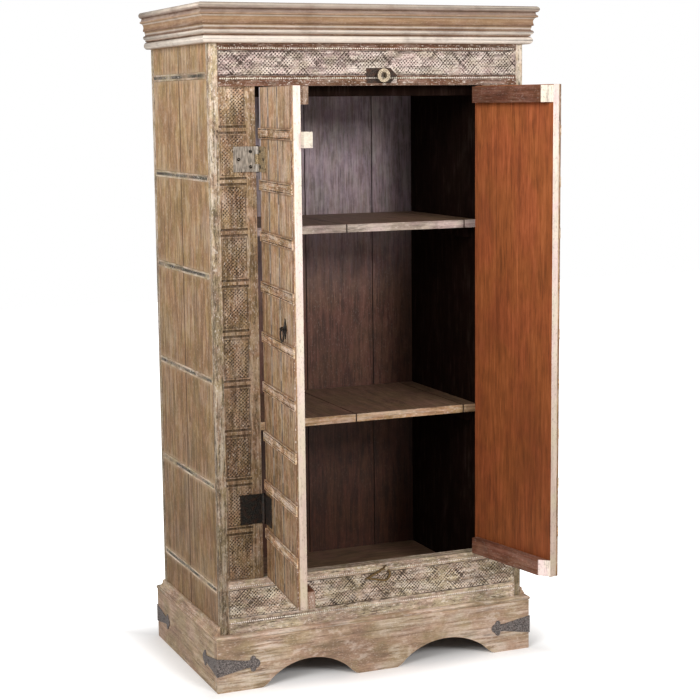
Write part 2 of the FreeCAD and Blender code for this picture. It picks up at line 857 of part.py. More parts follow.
def door_battens(side):
    """A batten across the back of the door at its top and bottom, bevelled on the right door."""
    back = size("hinge_stand") + size("door_thickness")
    front_end = size("door_gap") / 2 + size("door_width")
    start = size("batten_start")
    bevel = size("batten_bevel") if side > 0 else 0.0
    deep = back + size("batten_thickness")
    corners = [(start, back), (front_end, back), (front_end - bevel, deep), (start, deep)]
    low = size("door_bottom") + size("batten_inset")
    high = size("door_bottom") + size("door_height") - size("batten_inset") - size("batten_height")
    battens = [mirrored(prism(corners, foot, size("batten_height")), door_side(side)) for foot in (low, high)]
    hang(feature(f"door_{side_name(side)}_battens", Part.makeCompound(battens)), side)


def door_stop_block():
    """A wooden block on the left door reaches behind the right one."""
    back = size("hinge_stand") + size("door_thickness")
    edge = size("door_gap") / 2 + size("door_width")
    half = size("stop_block_height") / 2
    middle = size("stop_block_place")
    deep = back + size("stop_block_thickness")
    held = edge - size("stop_block_hold")
    hold = block(Vector(held, back, middle - half), Vector(edge, deep, middle + half))
    relief = back + size("stop_block_relief")
    tongue = block(Vector(edge, relief, middle - half),
                   Vector(edge + size("stop_block_reach"), deep, middle + half))
    hang(feature("door_left_stop_block", hold.fuse(tongue).removeSplitter()), -1)


# Hinges


def hinge_spans():
    """The middle and height of the upper and the lower hinge."""
    for place in ("upper", "lower"):
        yield place, size(f"{place}_hinge_place"), size(f"{place}_leaf_height")


def leaf(middle, height, knuckles):
    """A hinge leaf to the right of its axis, with knuckles at the stated spans of its height."""
    radius = size("knuckle_radius")
    start = size("hinge_stand")
    back = start
    front = back - size("leaf_thickness")
    foot = middle - height / 2
    plate = block(Vector(start, front, foot), Vector(start + size("leaf_width"), back, foot + height))
    rolls = []
    for low, high in knuckles:
        barrel = Part.makeCylinder(radius, high - low, Vector(0, 0, foot + low))
        root = block(Vector(0, front, foot + low), Vector(start, back, foot + high))
        rolls.append(barrel.fuse(root))
    bore = Part.makeCylinder(size("pin_radius") + size("pin_clearance"), height, Vector(0, 0, foot))
    return plate.multiFuse(rolls).cut(bore).removeSplitter()


def frame_leaf(middle, height):
    """The leaf on the stile holds the pin in its two end knuckles."""
    end = END_KNUCKLE_SHARE * height
    return leaf(middle, height, ((0.0, end), (height - end, height)))


def door_leaf(middle, height):
    """The leaf on the door turns on the pin with its middle knuckle."""
    end = END_KNUCKLE_SHARE * height + size("knuckle_gap")
    return leaf(middle, height, ((end, height - end),))


def hinge_pin(middle, height):
    """A pin with a flat head at each end."""
    foot = middle - height / 2
    head = size("pin_head")
    shank = Part.makeCylinder(size("pin_radius"), height, Vector(0, 0, foot))
    low = Part.makeCylinder(size("pin_head_radius"), head, Vector(0, 0, foot - head))
    high = Part.makeCylinder(size("pin_head_radius"), head, Vector(0, 0, foot + height))
    return shank.multiFuse([low, high]).removeSplitter()


def hinges():
    """Leaves on the stiles, leaves on the doors and the pins that join them."""
    axis = Vector(size("hinge_x"), size("hinge_y"), 0)
    pins = []
    for place, middle, height in hinge_spans():
        leaves = []
        for side in (-1, 1):
            here = Vector(side * axis.x, axis.y, 0)
            piece = mirrored(frame_leaf(middle, height), side)
            piece.translate(here)
            leaves.append(piece)
            pin = hinge_pin(middle, height)
            pin.translate(here)
            pins.append(pin)
        keep(feature(f"hinge_{place}_frame_leaves", Part.makeCompound(leaves)))
    keep(feature("hinge_pins", Part.makeCompound(pins)))
    for side in (-1, 1):
        leaves = [mirrored(door_leaf(middle, height), door_side(side)) for _, middle, height in hinge_spans()]
        hang(feature(f"door_{side_name(side)}_hinge_leaves", Part.makeCompound(leaves)), side)


# Iron straps on the plinth corners


def strap_leg(thick):
    """One leg of a strap, flat on the plane y = 0 and running along +X from the corner."""
    length = size("strap_length")
    tall = size("strap_height") / 2
    neck = size("strap_neck") / 2
    head = size("strap_head_radius")
    lobe = size("strap_lobe_radius")
    neck_at = STRAP_NECK_SHARE * length
    outline = [Vector(0, 0, -tall), Vector(neck_at, 0, -neck), Vector(length - head, 0, -neck)]
    outline += [Vector(length - head, 0, neck), Vector(neck_at, 0, neck), Vector(0, 0, tall)]
    body = Part.Face(Part.makePolygon(outline + outline[:1])).extrude(Vector(0, thick, 0))
    along = Vector(0, 1, 0)
    rounds = [Part.makeCylinder(head, thick, Vector(length - head, 0, 0), along)]
    lobe_at = STRAP_LOBE_SHARE * length
    offset = size("strap_lobe_offset")
    for end in (-offset, offset):
        rounds.append(Part.makeCylinder(lobe, thick, Vector(lobe_at, 0, end), along))
    rounds.append(block(Vector(lobe_at - lobe, 0, -offset), Vector(lobe_at + lobe, thick, offset)))
    return body.multiFuse(rounds).removeSplitter()


def strap(face_x, face_y):
    """A strap wrapped round the right front corner of a box with these faces."""
    thick = size("strap_thickness")
    front = strap_leg(thick).mirror(Vector(0, 0, 0), Vector(1, 0, 0))
    front.translate(Vector(face_x + thick, face_y - thick, size("strap_place")))
    side = strap_leg(thick)
    side.rotate(Vector(0, 0, 0), UP, 90)
    side.translate(Vector(face_x + thick, face_y - thick, size("strap_place")))
    return front.fuse(side).removeSplitter()


def straps():
    """Four corner straps and the nails that hold them."""
    face_x = size("board_half_width")
    front = -size("plinth_board") / 2
    back = size("board_back")
    for side in (-1, 1):
        keep(feature(f"strap_front_{side_name(side)}", mirrored(strap(face_x, front), side)))
    rear = strap(face_x, -back).mirror(Vector(0, 0, 0), Vector(0, 1, 0))
    keep(feature("straps_back", Part.makeCompound([mirrored(rear, side) for side in (-1, 1)])))
    keep(feature("strap_nails", Part.makeCompound(strap_nails(face_x, front, back))))


def strap_nails(face_x, front, back):
    """Two nail heads on each leg of each strap."""
    thick = size("strap_thickness")
    high = size("strap_place")
    radius = size("nail_radius")
    rise = size("nail_height")
    nails = []
    for side in (-1, 1):
        for share in STRAP_NAIL_SHARES:
            along = share * size("strap_length")
            for face, out in ((front - thick, -1), (back + thick, 1)):
                place = Vector(side * (face_x - along), face, high)
                nails.append(Part.makeCylinder(radius, rise, place, Vector(0, out, 0)))
            for row in (front + along, back - along):
                place = Vector(side * (face_x + thick), row, high)
                nails.append(Part.makeCylinder(radius, rise, place, Vector(side, 0, 0)))
    return nails


# Small ironwork


def revolved_about_y(points):
    """A solid of revolution about the Y axis from (radius, y) points."""
    outline = [Vector(radius, y, 0) for radius, y in points]
    face = Part.Face(Part.makePolygon(outline + outline[:1]))
    return face.revolve(Vector(0, 0, 0), Vector(0, 1, 0), 360)


def ring_eye():
    """A flanged iron eye stands on a long pointed plate at the middle of the frieze."""
    thick = size("eye_plate_thickness")
    half = size("eye_plate_length") / 2
    tall = size("eye_plate_height") / 2
    middle = Vector(size("eye_place"), size("carcass_front"), size("eye_plate_low") + tall)
    square = half - tall
    outline = [Vector(-half, 0, -tall), Vector(square, 0, -tall), Vector(half, 0, 0)]
    outline += [Vector(square, 0, tall), Vector(-half, 0, tall)]
    plate = Part.Face(Part.makePolygon(outline + outline[:1])).extrude(Vector(0, -thick, 0))
    hole = Part.makeCylinder(size("eye_hole_radius"), thick, Vector(0, -thick, 0), Vector(0, 1, 0))
    plate = plate.cut(hole)
    plate.translate(middle)
    keep(feature("ring_plate", plate))
    bore = size("eye_hole_radius")
    neck = size("eye_neck_radius")
    rim = size("eye_radius")
    lip = size("eye_lip")
    out = size("eye_reach")
    profile = [
        (bore, -thick),
        (neck, -thick),
        (neck, lip - out),
        (rim, lip / 2 - out),
        (rim, -out),
        (bore, -out),
    ]
    eye = revolved_about_y(profile)
    eye.translate(middle)
    keep(feature("ring_eye", eye))


def staple_shank():
    """The shank of the loop's staple, from under its head to the face of the rail."""
    front = size("loop_front") - size("loop_clearance")
    place = Vector(size("loop_place"), front, size("loop_height_place"))
    return Part.makeCylinder(size("staple_radius"), size("carcass_front") - front, place, Vector(0, 1, 0))


def apron_loop():
    """A leaf-shaped iron loop hangs from a staple through the lug on its round end."""
    wire = size("loop_wire")
    radius = size("loop_radius")
    reach = size("loop_length") - radius
    angle = math.acos(radius / reach)
    outer = leaf_outline(radius, reach, angle)
    inner = leaf_outline(radius - wire, (radius - wire) / math.cos(angle), angle)
    pivot = size("staple_radius") + size("staple_clearance")
    turn = math.radians(size("loop_lug_turn"))
    lug_at = Vector(radius * math.cos(turn), 0, radius * math.sin(turn))
    across = Vector(0, 1, 0)
    lug = Part.makeCylinder(pivot + size("loop_lug_wall"), wire, lug_at, across)
    hole = Part.makeCylinder(pivot, wire, lug_at, across)
    loop = outer.cut(inner).fuse(lug.cut(outer)).cut(hole).removeSplitter()
    loop.translate(-lug_at)
    loop.rotate(Vector(0, 0, 0), across, -size("loop_tilt"))
    loop.translate(Vector(size("loop_place"), size("loop_front"), size("loop_height_place")))
    keep(feature("apron_loop", loop))
    under_head = size("loop_front") - size("loop_clearance")
    here = Vector(size("loop_place"), under_head, size("loop_height_place"))
    cap = Part.makeCylinder(size("staple_head_radius"), size("staple_head"), here, Vector(0, -1, 0))
    keep(feature("apron_staple", staple_shank().fuse(cap).removeSplitter()))


def leaf_outline(radius, reach, angle):
    """A flat solid with a round end about the origin and a point at -reach, tangent between."""
    thick = size("loop_wire")
    upper = Vector(-radius * math.cos(angle), 0, radius * math.sin(angle))
    lower = Vector(upper.x, 0, -upper.z)
    tip = Vector(-reach, 0, 0)
    edges = [
        Part.makeLine(tip, upper),
        Part.Arc(upper, Vector(radius, 0, 0), lower).toShape(),
        Part.makeLine(lower, tip),
    ]
    return Part.Face(Part.Wire(edges)).extrude(Vector(0, thick, 0))


def ring_pull(side):
    """A ring hangs in a lug on a pointed plate near the door's free edge."""
    name = side_name(side)
    face = size("hinge_stand")
    thick = size("pull_plate_thickness")
    half = size("pull_plate_width") / 2
    tall = size("pull_plate_height") / 2
    along = -side * size("pull_place")
    high = size("pull_height_place")
    outline = [Vector(-half, 0, 0), Vector(0, 0, -tall), Vector(half, 0, 0), Vector(0, 0, tall)]
    plate = Part.Face(Part.makePolygon(outline + outline[:1])).extrude(Vector(0, thick, 0))
    plate.translate(Vector(along, face - thick, high))
    lug_thick = size("pull_lug_thickness")
    lug_y = face - thick - size("pull_lug_reach")
    lug_low = along - lug_thick / 2
    across = Vector(1, 0, 0)
    lug = Part.makeCylinder(size("pull_lug_radius"), lug_thick, Vector(lug_low, lug_y, high), across)
    neck_high = Vector(lug_low + lug_thick, face - thick, high + size("pull_lug_radius"))
    neck = block(Vector(lug_low, lug_y, high), neck_high)
    eye_radius = size("pull_wire_radius") + size("pull_wire_clearance")
    eye = Part.makeCylinder(eye_radius, lug_thick, Vector(lug_low, lug_y, high), across)
    plate = plate.fuse(lug.fuse(neck).cut(eye)).removeSplitter()
    hang(feature(f"door_{name}_pull_plate", plate), side)
    centre = Vector(along, lug_y, high - size("pull_ring_radius"))
    ring = Part.makeTorus(size("pull_ring_radius"), size("pull_wire_radius"), centre, Vector(0, 1, 0))
    hang(feature(f"door_{name}_pull_ring", ring), side)


def check():
    """Stop if any object failed or any sub-part is empty or broken."""
    for item in doc.Objects:
        faults = {"Invalid", "Error"} & set(item.State)
        if faults:
            raise RuntimeError(f"{item.Label} is {faults}")
    for item in NODES:
        if item.Shape.isNull() or not item.Shape.isValid() or not item.Shape.Solids:
            raise RuntimeError(f"{item.Label} has no sound solid")


def export():
    """Write each sub-part to a file of its own."""
    for item in NODES:
        item.Shape.exportStep(f"parts/{item.Label}.step")


fill_sheets()
plinth_front()
plinth_sides_and_back()
plinth_blocks()
plinth_cap()
front_posts()
back_posts()
side_panels()
base_mouldings()
back_panel()
linings()
roof_and_floor()
shelves()
cleats()
frieze()
apron()
stiles()
door_stop()
cornice()
for door in (-1, 1):
    door_planks(door)
    door_crossbands(door)
    door_battens(door)
    ring_pull(door)
door_stop_block()
hinges()
straps()
ring_eye()
apron_loop()
doc.recompute()
check()
export()
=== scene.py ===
import json
import math
from functools import partial

import bmesh
import bpy
from bpy.props import FloatProperty, FloatVectorProperty, IntProperty, PointerProperty
from mathutils import Matrix, Vector


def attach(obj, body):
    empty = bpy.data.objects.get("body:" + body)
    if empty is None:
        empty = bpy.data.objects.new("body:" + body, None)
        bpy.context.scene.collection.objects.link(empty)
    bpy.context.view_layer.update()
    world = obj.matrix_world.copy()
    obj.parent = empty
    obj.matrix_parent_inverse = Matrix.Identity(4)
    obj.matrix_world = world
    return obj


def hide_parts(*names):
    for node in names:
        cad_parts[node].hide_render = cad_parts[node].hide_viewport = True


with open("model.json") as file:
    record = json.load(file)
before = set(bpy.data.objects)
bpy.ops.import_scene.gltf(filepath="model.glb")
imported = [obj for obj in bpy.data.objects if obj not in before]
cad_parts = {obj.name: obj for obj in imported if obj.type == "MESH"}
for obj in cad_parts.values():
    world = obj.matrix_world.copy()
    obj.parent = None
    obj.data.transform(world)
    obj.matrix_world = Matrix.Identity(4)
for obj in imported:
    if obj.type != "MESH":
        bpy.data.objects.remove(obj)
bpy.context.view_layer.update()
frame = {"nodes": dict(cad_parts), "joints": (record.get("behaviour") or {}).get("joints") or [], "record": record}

bl_info = {
    "name": "Carved Cabinet Finish",
    "version": (1, 0, 0),
    "blender": (4, 5, 0),
    "location": "View3D > Sidebar > Cabinet",
    "description": "Boards, carving, ironwork and stage of a reclaimed-wood cabinet",
    "category": "Object",
}

# Everything is in metres, in the frame of the cabinet: X to the viewer's right, Y to the wall, Z up.

IMAGE_SIDE = 700
SENSOR_WIDTH = 36
OUTWARDS = Vector((0, -1, 0))
# Corners nearer than this are one corner
WELD = 1e-6
# Faces that meet at less than the first angle are one face, and at more than the second have an arris
FLAT = math.radians(0.5)
CREASE = math.radians(32)
# How high the grain stands on a board
GRAIN_RELIEF = 0.0006

# Places of joints and bands, as shares of the boards that they divide
BAND_STEPS = range(-4, 5)
CELL_PITCH_SHARE = 0.1015
SIDE_RAIL_SHARES = (0.076, 0.257, 0.439, 0.616, 0.779, 0.948)
SIDE_JOINT_SHARES = (0.0, 0.5, 1.0)
SHELF_JOINT_SHARES = {"upper": (0.0, 0.427, 0.942, 1.0), "lower": (0.0, 0.460, 0.938, 1.0)}
DOOR_JOINT_SHARES = (0.0, 0.28, 0.57, 1.0)
BACK_JOINT_SHARES = (0.0, 0.25, 0.5, 0.75, 1.0)
# Lower and upper end of the carved field on the frieze and the apron, as shares of their height
FIELD_SHARES = {"frieze": (0.245, 0.83), "apron": (0.29, 0.832)}
# Shares of a hinge leaf's width and height where its three screws sit
LEAF_SCREW_SHARES = ((0.78, 0.5), (0.26, 0.80), (0.26, 0.20))
# Width and length of a screw head's flat top, as shares of its foot
SCREW_TOP_SHARES = (0.96, 0.9)
# Reach and height of a rosette's rings of corners, as shares of its radius and rise
ROSETTE_SHARES = ((0.28, 0.85), (0.40, 0.35), (0.72, 0.90), (1.0, 0.0))
# The rim's reach and the petals' height between two petals, as shares of those on a petal
VALLEY_SHARES = (0.84, 0.35)
# Reach of the dirt, the lime and the gouges beside the joints of a door, in widths of a joint
SEAM_REACH_SHARES = (2.4, 5, 3.4)
# Where the gouges beside a crossband begin, are deepest, fade and end, and where the painted shadow round it
# ends and is darkest: distances from the band's middle, in heights of the band
GOUGE_SHARES = (0.60, 0.72, 1.5, 1.7)
SHADOW_SHARES = (0.72, 0.5)
# Radius of a rosette, as a share of its crossband's height
ROSETTE_RADIUS_SHARE = 0.42
# How far low carving stands out, as a share of a full panel's rise
LOW_RISE_SHARE = 0.5
# Heights of the two rows of beads, as shares of the plain strips below and above a carved field
BEAD_ROW_SHARES = (0.72, 0.30)
# Colour of the cornice from its foot to its top: share of the height and the name of a tone. The bands are
# partly the timber's lime and brown, and partly painted light on the rounds and painted shade in the hollows
CORNICE_TONE_AND_SHADE_BANDS = (
    (0.00, "tan"), (0.02, "lime"), (0.16, "lime"), (0.19, "moulding"), (0.225, "brown"), (0.26, "lime"),
    (0.31, "lime"), (0.34, "moulding"), (0.38, "brown"), (0.42, "lime"), (0.45, "door"), (0.50, "brown"),
    (0.60, "door"), (0.655, "door"), (0.68, "lime"), (0.71, "door"), (0.78, "faded"), (0.84, "moulding"),
    (0.87, "faded"), (0.96, "lime"), (1.00, "faded"),
)


def linear(code):
    """A colour from its sRGB hex code, in linear light."""
    parts = [int(code[start:start + 2], 16) / 255 for start in (1, 3, 5)]
    return tuple(part / 12.92 if part <= 0.04045 else ((part + 0.055) / 1.055) ** 2.4 for part in parts)


def colour_setting(words, code):
    """A colour that a user may change."""
    return FloatVectorProperty(description=words, subtype="COLOR", size=3, min=0, max=1,
                               default=linear(code))


def length_setting(words, value):
    """A length that a user may change."""
    return FloatProperty(description=words, unit="LENGTH", precision=4, min=0, default=value)


def number_setting(words, value):
    """A number that a user may change."""
    return FloatProperty(description=words, default=value)


def angle_setting(words, degrees):
    """An angle that a user may change."""
    return FloatProperty(description=words, subtype="ANGLE", default=math.radians(degrees))


def place_setting(words, place):
    """A place that a user may change."""
    return FloatVectorProperty(description=words, subtype="XYZ", unit="LENGTH", default=place)


class CarvingSettings(bpy.types.PropertyGroup):
    """Sizes of the carved pattern"""

    pit_pitch: length_setting("Distance between neighbouring drilled pits", 0.0068)
    pit_depth: length_setting("How deep a pit is drilled", 0.0022)
    diamond_pitch: length_setting("Distance between the long diagonal cuts", 0.0374)
    cut_width: length_setting("Half width of a long diagonal cut", 0.0017)
    border: length_setting("Plain edge round a carved panel", 0.0042)
    panel_rise: length_setting("How far a carved panel stands on its rail", 0.0030)
    bead_radius: length_setting("Radius of a carved bead", 0.0024)
    bead_pitch: length_setting("Distance between beads", 0.0060)
    side_rail: length_setting("Height of a rail let into the sides", 0.018)
    crossband: length_setting("Height of a band across a door", 0.027)
    stile_edge: length_setting("Width of a stile's plain strip", 0.026)
    tile_gap: length_setting("Distance between two carved tiles", 0.022)
    tile_bar: length_setting("Height of the bar between two tiles", 0.009)
    tile_relief: length_setting("How far a tile stands on its stile", 0.004)
    cell_rise: length_setting("How far the bars stand above the stile's middle", 0.012)
    seed: IntProperty(description="Changes the wear of the carving", default=11)


class TimberSettings(bpy.types.PropertyGroup):
    """Grain, joints and colours of the old timber"""

    # Real fibres are a few tenths of a millimetre wide: these are as coarse as they need to be to show
    fibre: length_setting("Width of the finest grain lines", 0.0017)
    figure: length_setting("Width of the broad figure", 0.034)
    patch: length_setting("Size of the weathered patches", 0.12)
    arris: length_setting("Rounding of a board's worn edges", 0.0014)
    joint: length_setting("Width of the open joint between two boards", 0.0026)
    skin: length_setting("How far a cut end's colour reaches over its arris", 0.0008)
    rim: length_setting("Reach of the worn rim beside a rail on the sides", 0.022)
    planed: length_setting("Width of the planed strip beside a door's hinges", 0.016)
    lime: colour_setting("Old limewash left in the grain", "#efe4d8")
    pit: colour_setting("Dirt in pits, cracks and cuts", "#33241b")
    tan: colour_setting("Bare sanded timber", "#b1947a")
    brown: colour_setting("Darker streaks of sanded timber", "#7a573f")
    faded: colour_setting("Timber greyed by the sun", "#b5a097")
    plinth: colour_setting("Sanded boards of the plinth", "#a3886f")
    side: colour_setting("Dull side planks", "#ad885f")
    rail: colour_setting("Dark hearts of the rails on the sides", "#4b443a")
    post: colour_setting("Weathered corner posts", "#b9a084")
    honey: colour_setting("Old carved timber of the stiles", "#a68768")
    frieze: colour_setting("Old carved timber of the frieze", "#b5a096")
    moulding: colour_setting("Mouldings above and below the frieze", "#6a4631")
    apron: colour_setting("Old carved timber of the apron", "#ad9780")
    door: colour_setting("Outside of the doors", "#ae8864")
    inside: colour_setting("Inside of the doors", "#a45a32")
    batten: colour_setting("Polished battens of the doors", "#6c412e")
    bare: colour_setting("Planed strip beside the hinges", "#c6bdbd")
    sawn: colour_setting("Freshly sawn edges of the doors", "#eddad0")
    block: colour_setting("Painted stop block of the left door", "#d3c5b8")
    stain: colour_setting("Stained back of the cabinet", "#865b4a")
    # Painted highlight: a grey sheen of light painted on the back's upper left
    bloom: colour_setting("Grey bloom at the top of the back", "#cbbdca")
    # Painted shade: this nearly black colour stands for the shadow inside the cabinet, on the linings, roof, stop
    # rail, cleats and the back's right side
    shadow: colour_setting("Nearly black stain of the linings", "#180b06")
    shelf: colour_setting("Stained shelves", "#80634f")


class IronSettings(bpy.types.PropertyGroup):
    """Sizes and colours of the ironwork"""

    leaf: length_setting("Thickness of a hinge leaf", 0.003)
    screw_radius: length_setting("Radius of a screw head", 0.0046)
    screw_rise: length_setting("Height of a screw head", 0.0012)
    slot_width: length_setting("Width of a screw's slot", 0.0012)
    hammer_mark: length_setting("Size of the dents left by a hammer", 0.009)
    strap: colour_setting("Iron straps of the plinth", "#645d5a")
    zinc: colour_setting("Dull zinc coat of the upper hinges", "#b4aba0")
    patina: colour_setting("Upper leaves on the doors", "#9a8768")
    black: colour_setting("Blackened iron", "#272420")
    plate: colour_setting("Rusty brown iron of the latch plate", "#33271f")
    loop: colour_setting("Old brass-brown loop of the apron", "#66502f")
    bright: colour_setting("Iron rubbed bright by hands", "#9c8d77")
    rust: colour_setting("Rust in the dents", "#5a3420")


class StageSettings(bpy.types.PropertyGroup):
    """Camera, lamps and floor"""

    focal: number_setting("In pixels of the picture", 1683.7)
    eye: place_setting("Where the camera stands", (-1.8225, -4.1682, 1.5649))
    yaw: angle_setting("Turn to the right", 22.7587)
    pitch: angle_setting("Tilt down", 8.2548)
    roll: angle_setting("Turn about the line of sight", -0.6002)
    reach: length_setting("Half width of the floor", 9.0)
    near: length_setting("How far inside the plinth's outline the floor is dark", 0.05)
    far: length_setting("How far outside the plinth's outline the floor is white", 0.26)
    target: place_setting("What the lamps shine at", (0, 0, 1.0))
    key_place: place_setting("Where the main lamp stands", (-3.0, -2.6, 3.1))
    key_size: length_setting("Width of the main lamp", 2.0)
    key: number_setting("Strength of the main lamp", 125)
    front_place: place_setting("Where the front lamp stands", (0.75, -4.3, 2.7))
    front_size: length_setting("Width of the front lamp", 1.0)
    front: number_setting("Strength of the front lamp", 100)
    ambient: number_setting("Light from all round", 0.40)
    paper: colour_setting("Floor under the cabinet", "#fcfbfa")


WHITE = linear("#ffffff")

SETTINGS = (
    ("cabinet_carving", CarvingSettings),
    ("cabinet_timber", TimberSettings),
    ("cabinet_iron", IronSettings),
    ("cabinet_stage", StageSettings),
)

# Short names for the nodes that are used most: Blender's kind of node and its settings. A step takes a
# value, where it starts and ends, and what it gives before and after, which is 0 and 1 where not told.
SUMS = ("ADD", "SUBTRACT", "MULTIPLY", "DIVIDE", "MINIMUM", "MAXIMUM", "ABSOLUTE", "POWER", "COSINE", "ROUND",
        "FLOOR", "PINGPONG", "LESS_THAN", "GREATER_THAN")
SORTS = {
    "MIX": ("ShaderNodeMix", {"data_type": "RGBA"}),
    "TINT": ("ShaderNodeMix", {"data_type": "RGBA", "blend_type": "MULTIPLY"}),
    "STEP": ("ShaderNodeMapRange", {"interpolation_type": "SMOOTHSTEP"}),
    "NOISE": ("ShaderNodeTexNoise", {"noise_dimensions": "4D"}),
    "PARTS": ("ShaderNodeSeparateXYZ", {}),
    "ATTRIBUTE": ("ShaderNodeAttribute", {}),
    "VECTOR": ("ShaderNodeVectorMath", {}),
}
for operation in SUMS:
    SORTS[operation] = ("ShaderNodeMath", {"operation": operation})


def opaque(colour):
    """A colour with full alpha, as colour sockets want it."""
    return (*colour, 1.0)


def add_node(tree, kind, *inputs, **settings):
    """Add a node with its settings, and set or link its inputs, given in order or in a dictionary."""
    kind, usual = SORTS.get(kind, (kind, {}))
    node = tree.nodes.new(kind)
    for name, value in {**usual, **settings}.items():
        setattr(node, name, value)
    if inputs and isinstance(inputs[0], dict):
        pairs = [(node.inputs[name], value) for name, value in inputs[0].items()]
    else:
        pairs = zip([socket for socket in node.inputs if socket.enabled], inputs)
    for socket, value in pairs:
        if isinstance(value, bpy.types.Node):
            value = next(output for output in value.outputs if output.enabled)
        if isinstance(value, bpy.types.NodeSocket):
            tree.links.new(value, socket)
        else:
            socket.default_value = opaque(value) if socket.type == "RGBA" else value
    return node


# Bodies, places and pieces

BODY_OF = {
    node: body
    for body, nodes in frame["record"]["behaviour"]["bodies"].items()
    for node in nodes
}


def door_place(side):
    """Matrix from a door's own frame, hinge axis at the origin and door shut, to its rest pose."""
    joint = next(joint for joint in frame["joints"] if joint["name"] == f"{side}_door_hinge")
    low, high = joint["range_deg"]
    shut = high if side == "left" else low
    x, y, _ = joint["pos_m"]
    return Matrix.Translation((x, y, 0)) @ Matrix.Rotation(-math.radians(shut), 4, "Z")


def points_in(node, place=None):
    """Corners of a CAD node's mesh, in the frame of a place."""
    back = place.inverted() if place else Matrix.Identity(4)
    return [back @ vertex.co for vertex in frame["nodes"][node].data.vertices]


def box_in(node, place=None):
    """Lowest and highest corner of a CAD node, in the frame of a place."""
    points = points_in(node, place)
    low = Vector([min(point[axis] for point in points) for axis in range(3)])
    high = Vector([max(point[axis] for point in points) for axis in range(3)])
    return low, high


def new_object(name, mesh):
    """An object for a mesh, linked to the scene."""
    piece = bpy.data.objects.new(name, mesh)
    bpy.context.scene.collection.objects.link(piece)
    return piece


def finish_piece(piece, material, body, stands_for=()):
    """Give a piece its material, body and the CAD nodes that it stands for."""
    piece.data.materials.clear()
    piece.data.materials.append(material)
    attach(piece, body)
    if stands_for:
        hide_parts(*stands_for)
    return piece


def bevel(edit, edges, width):
    """Round these edges and note the corners of the new faces as worn."""
    made = bmesh.ops.bevel(edit, geom=edges, offset=width, segments=2, profile=0.6, affect="EDGES",
                           clamp_overlap=True)
    layer = edit.loops.layers.float.get("arris") or edit.loops.layers.float.new("arris")
    for face in made["faces"]:
        for loop in face.loops:
            loop[layer] = 1.0


def add_board(edit, low, high, width):
    """Add a squared board with rounded arrises between two corners."""
    span = high - low
    place = Matrix.Translation((low + high) / 2) @ Matrix.Diagonal((*span, 1))
    made = bmesh.ops.create_cube(edit, size=1, matrix=place)
    if width:
        edges = list({edge for vertex in made["verts"] for edge in vertex.link_edges})
        bevel(edit, edges, min(width, min(span) / 3))


def boards(name, spans, width, place=None):
    """One object of several squared boards, each with rounded arrises."""
    edit = bmesh.new()
    for low, high in spans:
        add_board(edit, Vector(low), Vector(high), width)
    if place:
        bmesh.ops.transform(edit, matrix=place, verts=edit.verts)
    mesh = bpy.data.meshes.new(name)
    edit.to_mesh(mesh)
    edit.free()
    return new_object(name, mesh)


def places_along(low, high, axis, shares):
    """Coordinates at shares of the way between two corners."""
    return [low[axis] + share * (high[axis] - low[axis]) for share in shares]


def spans_between(low, high, middles, half):
    """Ends of the spans that bands of some half width leave free between a low and a high end."""
    starts = [low] + [middle + half for middle in middles]
    ends = [middle - half for middle in middles] + [high]
    return list(zip(starts, ends))


def side_by_side(low, high, across, thin, shares, gap, cover=None):
    """Boards laid side by side with open joints, and a core that closes them, cover deep on the far face."""
    spans = []
    places = places_along(low, high, across, shares)
    for start, end in zip(places, places[1:]):
        first, last = low.copy(), high.copy()
        first[across] = start + (gap / 2 if start > low[across] else 0)
        last[across] = end - (gap / 2 if end < high[across] else 0)
        spans.append((first, last))
    inset = Vector((gap, gap, gap))
    inset[thin] = (high[thin] - low[thin]) / 4
    far_inset = inset.copy()
    if cover is not None:
        far_inset[thin] = cover
    spans.append((low + inset, high - far_inset))
    return spans


def softened(node, width=0.0):
    """A copy of a CAD node with its triangles joined, its arrises rounded and its curves smooth."""
    mesh = bpy.data.meshes.new(f"{node}_finish")
    edit = bmesh.new()
    edit.from_mesh(frame["nodes"][node].data)
    bmesh.ops.remove_doubles(edit, verts=edit.verts, dist=WELD)
    bmesh.ops.dissolve_limit(edit, angle_limit=FLAT, verts=edit.verts, edges=edit.edges)
    if width:
        sharp = [edge for edge in edit.edges
                 if len(edge.link_faces) == 2 and edge.calc_face_angle() > CREASE]
        bevel(edit, sharp, width)
    bmesh.ops.triangulate(edit, faces=[face for face in edit.faces if len(face.verts) > 4])
    for face in edit.faces:
        face.smooth = True
    edit.to_mesh(mesh)
    edit.free()
    mesh.set_sharp_from_angle(angle=CREASE)
    return new_object(f"{node}_finish", mesh)


def dress(node, material, width=0.0):
    """Stand a softened copy in for a CAD node."""
    return finish_piece(softened(node, width), material, BODY_OF[node], (node,))


def dress_boards(node, spans, material, width, place=None):
    """Stand squared boards in for a CAD node."""
    return finish_piece(boards(f"{node}_finish", spans, width, place), material, BODY_OF[node], (node,))


def dress_board(node, material, width):
    """Stand one squared board in for a CAD node."""
    return dress_boards(node, [box_in(node)], material, width)


# Carving, beads and repeated small pieces, made by node trees


def new_tree(name, kind, inputs, outputs):
    """What adds nodes to a new tree, and its inputs. Names of inputs and outputs are by kind of socket."""
    tree = bpy.data.node_groups.new(name, kind)
    for way, kinds in (("INPUT", inputs), ("OUTPUT", outputs)):
        for socket, labels in kinds.items():
            for label in labels:
                tree.interface.new_socket(name=label, in_out=way, socket_type=f"NodeSocket{socket}")
    return partial(add_node, tree), tree.nodes.new("NodeGroupInput").outputs


def geometry_tree(name, **inputs):
    """A geometry tree that takes a mesh, a material and other inputs, and gives a mesh."""
    mesh = {"Geometry": ["Geometry"]}
    return new_tree(name, "GeometryNodeTree", {**mesh, "Material": ["Material"], **inputs}, mesh)


